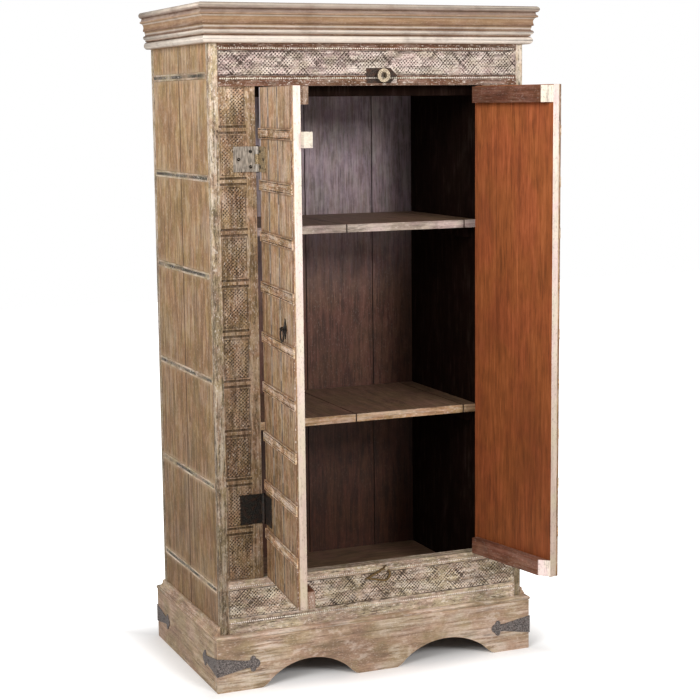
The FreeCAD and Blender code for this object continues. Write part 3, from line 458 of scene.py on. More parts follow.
def run_tree(name, mesh, kind, values):
    """Run a kind of geometry tree on a mesh and keep the result as a plain mesh."""
    tree = bpy.data.node_groups[kind]
    source = new_object(f"{name}_source", mesh)
    modifier = source.modifiers.new("Maker", "NODES")
    modifier.node_group = tree
    for item in tree.interface.items_tree:
        if item.in_out == "INPUT" and item.name in values:
            modifier[item.identifier] = values[item.name]
    bpy.context.view_layer.update()
    evaluated = source.evaluated_get(bpy.context.evaluated_depsgraph_get())
    result = bpy.data.meshes.new_from_object(evaluated)
    result.name = name
    source.modifiers.remove(modifier)
    bpy.data.objects.remove(source)
    return result


def end_tree(add, geometry, material):
    """End a geometry tree: make its instances real and give them the material."""
    real = add("GeometryNodeRealizeInstances", geometry)
    coloured = add("GeometryNodeSetMaterial", {"Geometry": real, "Material": material})
    add("NodeGroupOutput", coloured)


def carving_tree():
    """Relief of a carved panel: hand-drilled pits in a diagonal lattice, long cuts and a border."""
    add, get = geometry_tree("Carved panel", Float=[
        "Width", "Height", "Step", "Pit Pitch", "Pit Depth", "Diamond Pitch", "Cut Width", "Cut Amount",
        "Border", "Seed",
    ])
    columns = add("ROUND", add("DIVIDE", get["Width"], get["Step"]))
    rows = add("ROUND", add("DIVIDE", get["Height"], get["Step"]))
    grid = add("GeometryNodeMeshGrid", get["Width"], get["Height"], columns, rows)
    place = add("GeometryNodeInputPosition")

    def unevenness(pits_per_wave, detail):
        """How a hand's work wanders, in waves as long as some pits."""
        scale = add("DIVIDE", 1 / pits_per_wave, get["Pit Pitch"])
        return add("NOISE", place, get["Seed"], scale, detail)

    def falling(off, reach):
        """1 on a line, falling to 0 at a reach from it and on below."""
        return add("SUBTRACT", 1.0, add("DIVIDE", off, reach))

    sway = add("VECTOR", unevenness(3.3, 1.0).outputs["Color"], (0.5, 0.5, 0.5), operation="SUBTRACT")
    reach = add("MULTIPLY", get["Pit Pitch"], 0.9)
    shift = add("VECTOR", {0: sway.outputs[0], "Scale": reach}, operation="SCALE")
    swayed = add("VECTOR", place, shift, operation="ADD")
    parts = add("PARTS", swayed).outputs
    waves = []
    cuts = []
    for combine in ("ADD", "SUBTRACT"):
        slope = add("MULTIPLY", add(combine, parts["X"], parts["Y"]), math.sqrt(0.5))
        turns = add("MULTIPLY", add("DIVIDE", slope, get["Pit Pitch"]), math.tau)
        wave = add("MULTIPLY", add("COSINE", turns), 0.5)
        waves.append(add("ADD", wave, 0.5))
        off = add("PINGPONG", slope, add("DIVIDE", get["Diamond Pitch"], 2.0))
        cuts.append(falling(off, get["Cut Width"]))
    drill = add("STEP", unevenness(2.7, 2.0), 0.30, 0.62, 0.45, 1.25)
    pits = add("POWER", add("MULTIPLY", *waves), 1.1)
    pits = add("MULTIPLY", pits, drill)
    cut = add("MAXIMUM", add("MAXIMUM", *cuts), 0.0)
    wear = add("STEP", unevenness(10.0, 2.0), 0.34, 0.60, 0.1, get["Cut Amount"])
    cut = add("MULTIPLY", cut, wear)
    carved = add("MINIMUM", add("MAXIMUM", pits, cut), 1.0)
    flat = add("PARTS", place).outputs
    from_rims = []
    for size, coordinate in (("Width", "X"), ("Height", "Y")):
        half = add("DIVIDE", get[size], 2.0)
        from_rims.append(add("SUBTRACT", half, add("ABSOLUTE", flat[coordinate])))
    inward = add("SUBTRACT", add("MINIMUM", *from_rims), get["Border"])
    field = add("STEP", inward, 0.0, get["Cut Width"])
    line = falling(add("ABSOLUTE", inward), get["Step"])
    line = add("MULTIPLY", add("MAXIMUM", line, 0.0), 0.85)
    keep = add("STEP", unevenness(5.6, 3.0), 0.34, 0.56, 0.45, 1.0)
    depth = add("MAXIMUM", add("MULTIPLY", carved, field), line)
    depth = add("MULTIPLY", depth, keep)
    down = add("MULTIPLY", add("MULTIPLY", depth, get["Pit Depth"]), -1.0)
    offset = add("ShaderNodeCombineXYZ", {"Z": down.outputs[0]})
    geometry = add("GeometryNodeSetPosition", {"Geometry": grid, "Offset": offset})
    for label, value in (("depth", depth), ("field", field)):
        geometry = add("GeometryNodeStoreNamedAttribute", {
            "Geometry": geometry,
            "Name": label,
            "Value": value,
        }, data_type="FLOAT", domain="POINT")
    end_tree(add, geometry, get["Material"])


def carved_panel(name, width, height, rise, material, carving, number=0, border_share=1.0, cuts=0.5):
    """A closed panel lying in XY, its carved face up at the height of its rise."""
    values = {
        "Width": width,
        "Height": height,
        "Step": carving.pit_pitch * math.sqrt(0.5) / 3,
        "Pit Pitch": carving.pit_pitch,
        "Pit Depth": min(carving.pit_depth, rise * 0.8),
        "Diamond Pitch": carving.diamond_pitch,
        "Cut Width": carving.cut_width,
        "Cut Amount": cuts,
        "Border": carving.border * border_share,
        "Seed": float(carving.seed + number),
        "Material": material,
    }
    seed_mesh = bpy.data.meshes.new(f"{name}_seed")
    mesh = run_tree(name, seed_mesh, "Carved panel", values)
    edit = bmesh.new()
    edit.from_mesh(mesh)
    bmesh.ops.translate(edit, verts=edit.verts, vec=(0, 0, rise))
    made = bmesh.ops.extrude_edge_only(edit, edges=[edge for edge in edit.edges if edge.is_boundary])
    for item in made["geom"]:
        if isinstance(item, bmesh.types.BMVert):
            item.co.z = 0
    bmesh.ops.holes_fill(edit, edges=[edge for edge in edit.edges if edge.is_boundary], sides=0)
    bmesh.ops.recalc_face_normals(edit, faces=edit.faces)
    edit.to_mesh(mesh)
    edit.free()
    return mesh


def facing(outwards, up=Vector((0, 0, 1))):
    """Matrix that turns a panel's carved face outwards and its height up."""
    across = up.cross(outwards)
    return Matrix((across, up, outwards)).transposed().to_4x4()


def joined(name, meshes):
    """One object of several placed meshes, given as (mesh, matrix) pairs."""
    edit = bmesh.new()
    for mesh, place in meshes:
        part = mesh.copy()
        part.transform(place)
        edit.from_mesh(part)
        bpy.data.meshes.remove(part)
    result = bpy.data.meshes.new(name)
    edit.to_mesh(result)
    edit.free()
    return new_object(name, result)


def dress_joined(node, meshes, material):
    """Stand placed meshes, joined to one object, in for a CAD node."""
    return finish_piece(joined(f"{node}_finish", meshes), material, BODY_OF[node], (node,))


def bead_tree():
    """A row of beads along X, each a little unlike the next."""
    add, get = geometry_tree("Bead row", Float=["Length", "Pitch", "Radius"], Int=["Seed"])
    count = add("FLOOR", add("DIVIDE", get["Length"], get["Pitch"]))
    step = add("ShaderNodeCombineXYZ", get["Pitch"])
    row = add("GeometryNodeMeshLine", {"Count": count, "Offset": step})
    bead = add("GeometryNodeMeshUVSphere", {"Segments": 8, "Rings": 5, "Radius": get["Radius"]})
    smooth = add("GeometryNodeSetShadeSmooth", bead)
    size = add("FunctionNodeRandomValue", {
        0: (0.75, 0.85, 0.70),
        1: (1.20, 1.15, 1.10),
        "Seed": get["Seed"],
    }, data_type="FLOAT_VECTOR")
    placed = add("GeometryNodeInstanceOnPoints", {"Points": row, "Instance": smooth, "Scale": size})
    end_tree(add, placed, get["Material"])


def repeat_tree():
    """Copies of one small piece, one on each point, each turned by chance about an axis."""
    add, get = geometry_tree("Repeat on points", Object=["Piece"], Vector=["Axis"], Int=["Seed"])
    piece = add("GeometryNodeObjectInfo", get["Piece"], transform_space="ORIGINAL")
    turn = add("FunctionNodeRandomValue", {2: 0.0, 3: math.tau, "Seed": get["Seed"]}, data_type="FLOAT")
    spin = add("FunctionNodeAxisAngleToRotation", get["Axis"], turn)
    placed = add("GeometryNodeInstanceOnPoints", {
        "Points": add("GeometryNodeMeshToPoints", get["Geometry"]),
        "Instance": piece.outputs["Geometry"],
        "Rotation": spin,
    })
    end_tree(add, placed, get["Material"])


def repeated(name, template, points, axis, material, place=None):
    """Copies of a template mesh on points, each turned by chance about an axis."""
    dots = bpy.data.meshes.new(f"{name}_dots")
    dots.from_pydata([tuple(point) for point in points], [], [])
    pattern = new_object(f"{name}_pattern", template)
    values = {"Piece": pattern, "Material": material, "Axis": tuple(axis), "Seed": len(points)}
    mesh = run_tree(name, dots, "Repeat on points", values)
    bpy.data.objects.remove(pattern)
    if place:
        mesh.transform(place)
    return new_object(name, mesh)


def bead_row(name, low_x, high_x, y, z, material, carving, number):
    """A row of beads along the front of a moulding."""
    mesh = run_tree(name, bpy.data.meshes.new(f"{name}_seed"), "Bead row", {
        "Length": high_x - low_x - carving.bead_pitch,
        "Pitch": carving.bead_pitch,
        "Radius": carving.bead_radius,
        "Seed": carving.seed + number,
        "Material": material,
    })
    return mesh, Matrix.Translation((low_x + carving.bead_pitch, y, z))


def outward_mesh(name, edit):
    """Turn a small piece's faces and front outwards, and end its making."""
    bmesh.ops.recalc_face_normals(edit, faces=edit.faces)
    bmesh.ops.transform(edit, matrix=facing(OUTWARDS), verts=edit.verts)
    mesh = bpy.data.meshes.new(name)
    edit.to_mesh(mesh)
    edit.free()
    return mesh


def screw_head(iron):
    """A low screw head in two halves with a slot between them, facing outwards."""
    edit = bmesh.new()
    steps = 6
    wide, long = SCREW_TOP_SHARES
    for half in (-1, 1):
        ring = []
        for step in range(steps + 1):
            angle = math.pi * step / steps
            across = max(iron.screw_radius * math.sin(angle), iron.slot_width / 2)
            ring.append((half * across, iron.screw_radius * math.cos(angle)))
        low = [edit.verts.new((x, y, 0)) for x, y in ring]
        high = [edit.verts.new((x * wide, y * long, iron.screw_rise)) for x, y in ring]
        edit.faces.new(high)
        edit.faces.new(list(reversed(low)))
        for first, second, third, fourth in zip(low, low[1:] + low[:1], high[1:] + high[:1], high):
            edit.faces.new((first, second, third, fourth))
    return outward_mesh("screw_head", edit)


def rosette(radius, rise):
    """A carved rosette of eight petals round a boss, facing outwards."""
    corners = 16
    edit = bmesh.new()
    centre = edit.verts.new((0, 0, rise))
    rings = []
    boss_share = ROSETTE_SHARES[1][0]
    rim_share, petal_share = VALLEY_SHARES
    for reach_share, lift in ROSETTE_SHARES:
        ring = []
        for step in range(corners):
            angle = math.tau * step / corners
            valley = step % 2 and reach_share > boss_share
            reach = radius * reach_share * (rim_share if valley and reach_share == 1.0 else 1.0)
            height = rise * lift * (petal_share if valley else 1.0)
            ring.append(edit.verts.new((reach * math.cos(angle), reach * math.sin(angle), height)))
        rings.append(ring)
    for first, second in zip(rings[0], rings[0][1:] + rings[0][:1]):
        edit.faces.new((centre, first, second))
    for inner, outer in zip(rings, rings[1:]):
        for step in range(corners):
            after = (step + 1) % corners
            edit.faces.new((inner[step], outer[step], outer[after], inner[after]))
    edit.faces.new(list(reversed(rings[-1])))
    return outward_mesh("rosette", edit)


# Materials

GRAIN_TURN = {
    "X": (0, 0, 0),
    "Y": (0, 0, -math.pi / 2),
    "Z": (0, math.pi / 2, 0),
}


def timber_group():
    """Grain of a sawn board whose fibres run along X, with lime, flecks, dirt and cracks."""
    add, get = new_tree("Sawn timber", "ShaderNodeTree", {
        "Vector": ["Vector"],
        "Float": ["Fibre", "Figure", "Patch", "Seed", "Lime Amount", "Crack Amount", "Fleck Amount",
                  "Contrast"],
        "Color": ["Dark", "Middle", "Pale", "Lime", "Dirt"],
    }, {"Color": ["Colour"], "Float": ["Height", "Patches"]})

    def pattern(stretch, length, times, detail, distortion=0.0):
        """An uneven pattern drawn out along the fibres, its waves some times a length wide."""
        squeezed = add("VECTOR", get["Vector"], (stretch, 1.0, 1.0), operation="MULTIPLY")
        return add("NOISE", {
            "Vector": squeezed,
            "W": get["Seed"],
            "Scale": add("DIVIDE", 1 / times, get[length]),
            "Detail": detail,
            "Roughness": 0.62,
            "Distortion": distortion,
        })

    fibres = pattern(0.035, "Fibre", 1.0, 3.0)
    streaks = pattern(0.06, "Fibre", 5.0, 3.0)
    figure = pattern(0.10, "Figure", 1.0, 2.0, 0.6)
    rings = add("PINGPONG", add("MULTIPLY", figure, 9.0), 1.0)
    patches = pattern(1.0, "Patch", 1.0, 4.0)
    spots = pattern(0.5, "Patch", 0.14, 4.0)
    specks = pattern(0.5, "Fibre", 2.2, 2.0)
    hue = pattern(0.6, "Patch", 0.4, 2.0)
    split = add("ABSOLUTE", add("SUBTRACT", pattern(0.06, "Figure", 0.8, 4.0), 0.5))
    cracked = add("STEP", patches, 0.50, 0.58)
    crack = add("MULTIPLY", add("STEP", split, 0.012, 0.0), cracked)
    crack = add("MULTIPLY", crack, get["Crack Amount"])
    tone = add("MULTIPLY", rings, 0.22)
    for part, low, high, share in ((fibres, 0.36, 0.64, 0.30), (streaks, 0.34, 0.66, 0.26),
                                   (spots, 0.36, 0.64, 0.22)):
        tone = add("ADD", tone, add("STEP", part, low, high, 0.0, share))
    tone = add("MULTIPLY", add("SUBTRACT", tone, 0.5), get["Contrast"])
    tone = add("ADD", tone, 0.5)
    colour = add("MIX", add("STEP", tone, 0.10, 0.58), get["Dark"], get["Middle"])
    colour = add("MIX", add("STEP", tone, 0.52, 0.92), colour, get["Pale"])
    colour = add("MIX", add("STEP", patches, 0.50, 0.34, 0.0, 0.40), colour, get["Dark"])
    greener, redder = linear("#f9fff3"), linear("#fff9fd")
    tint = add("MIX", add("STEP", hue, 0.38, 0.62), greener, redder)
    colour = add("TINT", get["Contrast"], colour, tint)
    limed = add("STEP", patches, 0.42, 0.58)
    limed = add("MULTIPLY", limed, add("STEP", streaks, 0.42, 0.60))
    limed = add("MAXIMUM", limed, add("STEP", spots, 0.54, 0.64, 0.0, 0.7))
    colour = add("MIX", add("MULTIPLY", limed, get["Lime Amount"]), colour, get["Lime"])
    pale_flecks = add("STEP", specks, 0.57, 0.66, 0.0, get["Fleck Amount"])
    colour = add("MIX", pale_flecks, colour, get["Lime"])
    dark_flecks = add("STEP", specks, 0.43, 0.34, 0.0, get["Fleck Amount"])
    colour = add("MIX", dark_flecks, colour, get["Dirt"])
    colour = add("MIX", crack, colour, get["Dirt"])
    height = add("ADD", add("MULTIPLY", fibres, 0.5), add("MULTIPLY", rings, 0.15))
    height = add("SUBTRACT", height, crack)
    height = add("SUBTRACT", height, add("MULTIPLY", dark_flecks, 0.6))
    add("NodeGroupOutput", colour, height, patches)


def new_material(name, place=None):
    """An empty material, what adds nodes to it, and its coordinates in the frame of a place."""
    material = bpy.data.materials.new(name)
    material.use_nodes = True
    material.node_tree.nodes.clear()
    add = partial(add_node, material.node_tree)
    where = add("ShaderNodeTexCoord").outputs["Object"]
    if place:
        where = add("ShaderNodeMapping", where, place.to_translation(), place.to_euler(),
                    vector_type="TEXTURE").outputs[0]
    return material, add, where


def shades(middle, dark=0.45, pale=1.45):
    """A darker and a paler tone about a middle colour."""
    return (
        tuple(part * dark for part in middle),
        tuple(middle),
        tuple(min(1.0, part * pale + 0.01) for part in middle),
    )


def sawn(add, where, along, timber, tones, seed, lime=0.2, crack=0.5, fleck=0.2, patch_share=1.0,
         contrast=1.0):
    """Add the sawn-timber group with its fibres along an axis."""
    turned = add("ShaderNodeMapping", {"Vector": where, "Rotation": GRAIN_TURN[along]})
    dark, middle, pale = tones
    return add("ShaderNodeGroup", {
        "Vector": turned,
        "Fibre": timber.fibre,
        "Figure": timber.figure,
        "Patch": timber.patch * patch_share,
        "Seed": float(seed),
        "Lime Amount": lime,
        "Crack Amount": crack,
        "Fleck Amount": fleck,
        "Contrast": contrast,
        "Dark": dark,
        "Middle": middle,
        "Pale": pale,
        "Lime": timber.lime,
        "Dirt": timber.pit,
    }, node_tree=bpy.data.node_groups["Sawn timber"]).outputs


def surface(add, colour, height, roughness, strength=0.4, relief=GRAIN_RELIEF, metallic=0.0, specular=0.3):
    """End a material in a principled shader with a bump."""
    lift = add("ShaderNodeBump", {"Strength": strength, "Distance": relief, "Height": height})
    shader = add("ShaderNodeBsdfPrincipled", {
        "Base Color": colour,
        "Roughness": roughness,
        "Metallic": metallic,
        "Specular IOR Level": specular,
        "Normal": lift,
    })
    add("ShaderNodeOutputMaterial", shader)


def worn_edges(add, colour, paint, amount=0.5):
    """Mix a paler colour over the arrises of the boards."""
    arris = add("ATTRIBUTE", attribute_name="arris").outputs["Fac"]
    return add("MIX", add("MULTIPLY", arris, amount), colour, paint)


def darker_to_foot(add, where, colour, node, foot):
    """Darken a colour from the top of a node to its foot."""
    low, high = box_in(node)
    share = add("STEP", add("PARTS", where).outputs["Z"], low.z, high.z)
    shade = add("MIX", share, linear(foot), WHITE)
    return add("TINT", 1.0, colour, shade)


def near_places(add, coordinate, places, reach):
    """1 where a coordinate is at one of some places, fading to 0 at a reach from it."""
    nearest = 0.0
    for place in places:
        off = add("ABSOLUTE", add("SUBTRACT", coordinate, place))
        nearest = add("MAXIMUM", nearest, add("STEP", off, reach, 0.0))
    return nearest


def open_joints(add, colour, coordinate, places, reach, dirt):
    """Darken a colour with the dirt in the open joints at some places."""
    return add("MIX", near_places(add, coordinate, places, reach), colour, dirt)


def plank_material(name, timber, along, tones, seed, place=None, foot_darkening=None, joints=None, rims=None,
                   edge=0.4, roughness=0.7, **grain_settings):
    """Reclaimed plank, sanded and waxed: soft figure, lime left in the grain, pale worn arrises."""
    material, add, where = new_material(name, place)
    grain = sawn(add, where, along, timber, tones, seed, **grain_settings)
    colour = worn_edges(add, grain["Colour"], tones[2], edge)
    if foot_darkening:
        colour = darker_to_foot(add, where, colour, *foot_darkening)
    if rims:
        axis, places, paint = rims
        rim = near_places(add, add("PARTS", where).outputs[axis], places, timber.rim)
        worn = add("MULTIPLY", rim, add("STEP", grain["Patches"], 0.38, 0.55, 0.35, 1.0))
        colour = add("MIX", worn, colour, paint)
    if joints:
        axis, places = joints
        parts = add("PARTS", where).outputs
        colour = open_joints(add, colour, parts[axis], places, timber.joint * 2.2, timber.pit)
    surface(add, colour, grain["Height"], roughness)
    return material


def carved_material(name, timber, along, middle, seed, place=None, foot_darkening=None, dirt=0.9, hollow=None,
                    **grain_settings):
    """Old carved timber: dirt has gathered in the pits and the high spots keep their lime."""
    material, add, where = new_material(name, place)
    tones = shades(middle, 0.5, 1.4)
    grain = sawn(add, where, along, timber, tones, seed, patch_share=0.7, **grain_settings)
    depth = add("ATTRIBUTE", attribute_name="depth").outputs["Fac"]
    deep = add("STEP", depth, 0.08, 0.60, 0.0, dirt)
    colour = add("MIX", deep, grain["Colour"], timber.pit)
    colour = worn_edges(add, colour, shades(middle)[2], amount=0.35)
    if hollow:
        front, relief = hollow
        behind = add("SUBTRACT", add("PARTS", where).outputs["Y"], front)
        sunk = add("STEP", behind, relief * 0.4, relief * 0.9, 0.0, 0.5)
        colour = add("MIX", sunk, colour, timber.pit)
    if foot_darkening:
        colour = darker_to_foot(add, where, colour, *foot_darkening)
    surface(add, colour, grain["Height"], roughness=0.75)
    return material


def rail_material(timber):
    """Rails let into the sides: pale worn rims round a heart blackened by old polish."""
    material, add, where = new_material("blackened_heart_rail")
    rim = sawn(add, where, "Y", timber, shades(timber.post, 0.5, 1.3), 33, lime=0.4, fleck=0.4)
    heart = sawn(add, where, "Y", timber, shades(timber.rail, 0.5, 2.2), 34, lime=0.1, fleck=0.5)
    field = add("ATTRIBUTE", attribute_name="field").outputs["Fac"]
    share = add("MULTIPLY", field, add("STEP", rim["Patches"], 0.40, 0.52, 0.35, 1.0))
    surface(add, add("MIX", share, rim["Colour"], heart["Colour"]), rim["Height"], roughness=0.7)
    return material


def cornice_material(name, timber, along, lime, top):
    """Rubbed-back limewashed pine: lime and brown bands, painted light on the rounds, painted shade in the
    hollows, a darker top.
    """
    material, add, where = new_material(name)
    low, high = box_in("cornice_front")
    share = add("ShaderNodeMapRange", add("PARTS", where).outputs["Z"], low.z, high.z)
    tone_and_shade_ramp = add("ShaderNodeValToRGB", share)
    bands = tone_and_shade_ramp.color_ramp
    for element, (_, tone) in zip(bands.elements, (CORNICE_TONE_AND_SHADE_BANDS[0], CORNICE_TONE_AND_SHADE_BANDS[-1])):
        element.color = opaque(getattr(timber, tone))
    for position, tone in CORNICE_TONE_AND_SHADE_BANDS[1:-1]:
        bands.elements.new(position).color = opaque(getattr(timber, tone))
    grain = sawn(add, where, along, timber, shades(timber.tan, 0.4, 1.4), 3, lime=lime, fleck=0.45,
                 contrast=1.8)
    stripe = sawn(add, where, along, timber, shades(timber.brown, 0.5, 1.3), 9, lime=0.0, fleck=0.3)
    colour = add("MIX", 0.28, tone_and_shade_ramp.outputs["Color"], grain["Colour"])
    bare = add("STEP", stripe["Patches"], 0.50, 0.64, 0.0, 0.35)
    colour = add("MIX", bare, colour, stripe["Colour"])
    shade = add("MIX", share, WHITE, linear(top))
    colour = add("TINT", 1.0, colour, shade)
    surface(add, colour, grain["Height"], roughness=0.68)
    return material


def door_material(name, timber, side, place, carving):
    """Old door planks: worn outside with gouges and a painted shadow by the bands, bare red-brown inside, sawn
    edges.
    """
    material, add, where = new_material(name, place)
    parts = add("PARTS", where).outputs
    low, high = box_in(f"door_{side}_planks", place)
    outer = sawn(add, where, "Z", timber, shades(timber.door, 0.5, 1.4), 5, lime=0.32, crack=0.8, fleck=0.35,
                 patch_share=0.8, contrast=1.6)
    inner = sawn(add, where, "Z", timber, shades(timber.inside, 0.6, 1.3), 8, lime=0.0, crack=0.2, fleck=0.0,
                 patch_share=2.2, contrast=1.1)
    pale = sawn(add, where, "Z", timber, shades(timber.sawn, 0.8, 1.08), 2, lime=0.3, crack=0.2, fleck=0.3,
                contrast=0.9)
    seams = places_along(low, high, 0, door_joints(side)[1:-1])
    broken = add("STEP", outer["Patches"], 0.40, 0.52, 0.35, 1.0)
    joint, fringe, gouge = (near_places(add, parts["X"], seams, timber.joint * share)
                            for share in SEAM_REACH_SHARES)
    joint = add("MULTIPLY", joint, broken)
    first_band = box_in(f"door_{side}_crossbands", place)[0].z + carving.crossband / 2
    off = add("PINGPONG", add("SUBTRACT", parts["Z"], first_band), band_pitch(side, carving) / 2)
    start, deepest, fading, end = (carving.crossband * share for share in GOUGE_SHARES)
    by_band = add("MULTIPLY", add("STEP", off, start, deepest), add("STEP", off, end, fading))
    gouge = add("MULTIPLY", gouge, by_band)
    # Painted shadow: the planks turn brown just above and below each crossband, as in the band's shade
    edge, darkest = (carving.crossband * share for share in SHADOW_SHARES)
    under = add("STEP", off, edge, darkest, 0.0, 0.55)
    colour = add("MIX", add("MULTIPLY", fringe, 0.5), outer["Colour"], timber.lime)
    colour = add("MIX", under, colour, timber.brown)
    colour = add("MIX", add("MAXIMUM", joint, gouge), colour, timber.pit)
    strip = add("STEP", add("ABSOLUTE", parts["X"]), timber.planed, timber.planed * 0.7)
    upper_hinge = box_in("hinge_upper_frame_leaves")[0].z
    above = add("STEP", parts["Z"], upper_hinge - timber.patch, upper_hinge)
    strip = add("MULTIPLY", strip, above)
    colour = add("MIX", strip, colour, timber.bare)
    inside = add("GREATER_THAN", parts["Y"], high.y - timber.skin)
    colour = add("MIX", inside, colour, inner["Colour"])
    sawn_end = max(-low.x, high.x) - timber.skin
    ends = add("GREATER_THAN", add("ABSOLUTE", parts["X"]), sawn_end)
    past_lip = add("STEP", parts["Y"], low.y + timber.joint, low.y + timber.joint * 2)
    ends = add("MULTIPLY", ends, past_lip)
    colour = add("MIX", ends, colour, pale["Colour"])
    colour = darker_to_foot(add, where, colour, f"door_{side}_planks", "#cac4b8")
    surface(add, colour, add("SUBTRACT", outer["Height"], gouge), roughness=0.6)
    return material


def batten_material(name, timber, side, place):
    """Dark polished batten whose sawn end shows paler."""
    material, add, where = new_material(name, place)
    parts = add("PARTS", where).outputs
    node = f"door_{side}_battens"
    low, high = box_in(node, place)
    reach = max(-low.x, high.x)
    back_reach = max(abs(point.x) for point in points_in(node, place) if point.y > high.y - timber.skin)
    lean = (reach - back_reach) / (high.y - low.y)
    end_tone = timber.sawn if side == "right" else timber.brown
    dark_tones = shades(timber.batten, 0.5, 1.5)
    dark = sawn(add, where, "X", timber, dark_tones, 73, lime=0.05, crack=0.3, fleck=0.1)
    pale = sawn(add, where, "Z", timber, shades(end_tone, 0.5, 0.95), 74, lime=0.2, fleck=0.4)
    leant = add("MULTIPLY", add("SUBTRACT", parts["Y"], low.y), lean)
    past = add("ADD", add("ABSOLUTE", parts["X"]), leant)
    end = add("GREATER_THAN", past, reach - timber.skin * 2)
    surface(add, add("MIX", end, dark["Colour"], pale["Colour"]), dark["Height"], roughness=0.6)
    return material


def stained_material(name, timber, along, tones, seed, roughness=0.5, specular=0.3):
    """Board in an oil stain, rubbed to a soft sheen."""
    material, add, where = new_material(name)
    grain = sawn(add, where, along, timber, tones, seed, lime=0.0, crack=0.3, fleck=0.0, patch_share=1.4)
    surface(add, grain["Colour"], grain["Height"], roughness, specular=specular)
    return material


def back_material(timber, joints):
    """Stained back boards: a painted grey sheen at the upper left, and painted shade at the foot and right."""
    material, add, where = new_material("stained_back")
    parts = add("PARTS", where).outputs
    low, high = box_in("back_planks")
    middle = (low + high) / 2
    stain = sawn(add, where, "Z", timber, shades(timber.stain, 0.5, 1.4), 41, lime=0.0, crack=0.3,
                 fleck=0.12, patch_share=1.4, contrast=1.4)
    bloom = sawn(add, where, "Z", timber, shades(timber.bloom, 0.5, 1.4), 47, lime=0.2, crack=0.3,
                 fleck=0.12, contrast=1.4)
    # Painted sheen: the paler grey copy of the grain takes over above the middle height, most of all on the left
    up = add("STEP", parts["Z"], middle.z, (middle.z + high.z) / 2)
    left = add("STEP", parts["X"], middle.x, low.x, 0.6, 1.0)
    colour = add("MIX", add("MULTIPLY", up, left), stain["Colour"], bloom["Colour"])
    # Painted shadow: nearly black on the right half, where the right door shades the back, and painted shade
    # darker towards the foot
    right = add("STEP", parts["X"], (middle.x + high.x) / 2, high.x, 0.0, 0.95)
    colour = add("MIX", right, colour, timber.shadow)
    colour = darker_to_foot(add, where, colour, "back_planks", "#897665")
    inner = add("LESS_THAN", parts["Y"], middle.y)
    colour = add("MIX", inner, stain["Colour"], colour)
    colour = open_joints(add, colour, parts["X"], joints, timber.joint, timber.pit)
    surface(add, colour, stain["Height"], roughness=0.5, specular=0.4)
    return material


def shelf_material(name, timber, node, edge_tone, joints):
    """Stained shelf whose front edge is planed bare."""
    material, add, where = new_material(name)
    parts = add("PARTS", where).outputs
    low, _ = box_in(node)
    top = sawn(add, where, "Y", timber, shades(timber.shelf, 0.5, 1.4), 45, lime=0.0, fleck=0.1)
    edge = sawn(add, where, "X", timber, shades(edge_tone, 0.5, 1.3), 46, lime=0.25, fleck=0.3)
    front = add("LESS_THAN", parts["Y"], low.y + timber.skin)
    colour = add("MIX", front, top["Colour"], edge["Colour"])
    colour = open_joints(add, colour, parts["X"], joints, timber.joint * 1.4, timber.pit)
    surface(add, colour, top["Height"], roughness=0.5)
    return material


def iron_colour(add, where, iron, colour, rust):
    """Colour and relief of forged iron: shallow hammer dents, mill scale and rust in the hollows."""
    dents = add("ShaderNodeTexVoronoi", {"Vector": where, "Scale": 1 / iron.hammer_mark},
                feature="SMOOTH_F1")
    scale = add("NOISE", {"Vector": where, "Scale": 3 / iron.hammer_mark, "Detail": 4.0})
    tones = shades(colour, 0.45, 1.7)
    tone = add("MIX", add("STEP", scale, 0.36, 0.66), tones[0], tones[2])
    rusty = add("MIX", add("STEP", dents, 0.35, 0.75, 0.0, rust), tone, iron.rust)
    return rusty, add("ADD", dents, scale)


def iron_material(name, iron, colour, roughness, rust=0.25, metallic=0.6):
    """Forged iron, dark and dull, with the marks of the hammer."""
    material, add, where = new_material(name)
    rusty, height = iron_colour(add, where, iron, colour, rust)
    surface(add, rusty, height, roughness, strength=0.5, relief=iron.hammer_mark * 0.1, metallic=metallic)
    return material


def leaf_material(iron):
    """Hinge leaves on the doors: blackened at the foot, and greyed by old polish at the top."""
    material, add, where = new_material("mixed_hinge_iron")
    lower = box_in("hinge_lower_frame_leaves")[1].z
    upper = box_in("hinge_upper_frame_leaves")[0].z
    black, height = iron_colour(add, where, iron, iron.black, rust=0.25)
    grey, _ = iron_colour(add, where, iron, iron.patina, rust=0.10)
    above = add("GREATER_THAN", add("PARTS", where).outputs["Z"], (lower + upper) / 2)
    colour = add("MIX", above, black, grey)
    surface(add, colour, height, roughness=0.5, strength=0.5, relief=iron.hammer_mark * 0.1, metallic=0.5)
    return material


def zinc_material(name, iron, colour):
    """Dull zinc-coated steel: grey with streaks where the coat ran, and a few dark stains."""
    material, add, where = new_material(name)
    drawn = add("ShaderNodeMapping", {"Vector": where, "Scale": (1, 1, 0.12)})
    runs = add("NOISE", {"Vector": drawn, "Scale": 3.4 / iron.hammer_mark, "Detail": 3.0})
    stains = add("NOISE", {"Vector": where, "Scale": 0.8 / iron.hammer_mark, "Detail": 3.0})
    tones = shades(colour, 0.5, 1.3)
    tone = add("MIX", add("STEP", runs, 0.35, 0.65), tones[0], tones[2])
    stained = add("MIX", add("STEP", stains, 0.52, 0.64, 0.0, 0.6), tone, tones[0])
    surface(add, stained, runs, roughness=0.5, strength=0.3, relief=iron.hammer_mark * 0.05, metallic=0.35)
    return material


# Places worked out for the doors


def door_joints(side):
    """Shares of a door's width where its planks meet, from its lower local X to its higher."""
    if side == "left":
        return DOOR_JOINT_SHARES
    return tuple(1 - share for share in reversed(DOOR_JOINT_SHARES))


def band_pitch(side, carving):
    """Distance between the middles of a door's crossbands."""
    low, high = box_in(f"door_{side}_crossbands", door_place(side))
    return (high.z - low.z - carving.crossband) / (len(BAND_STEPS) - 1)


# Operators


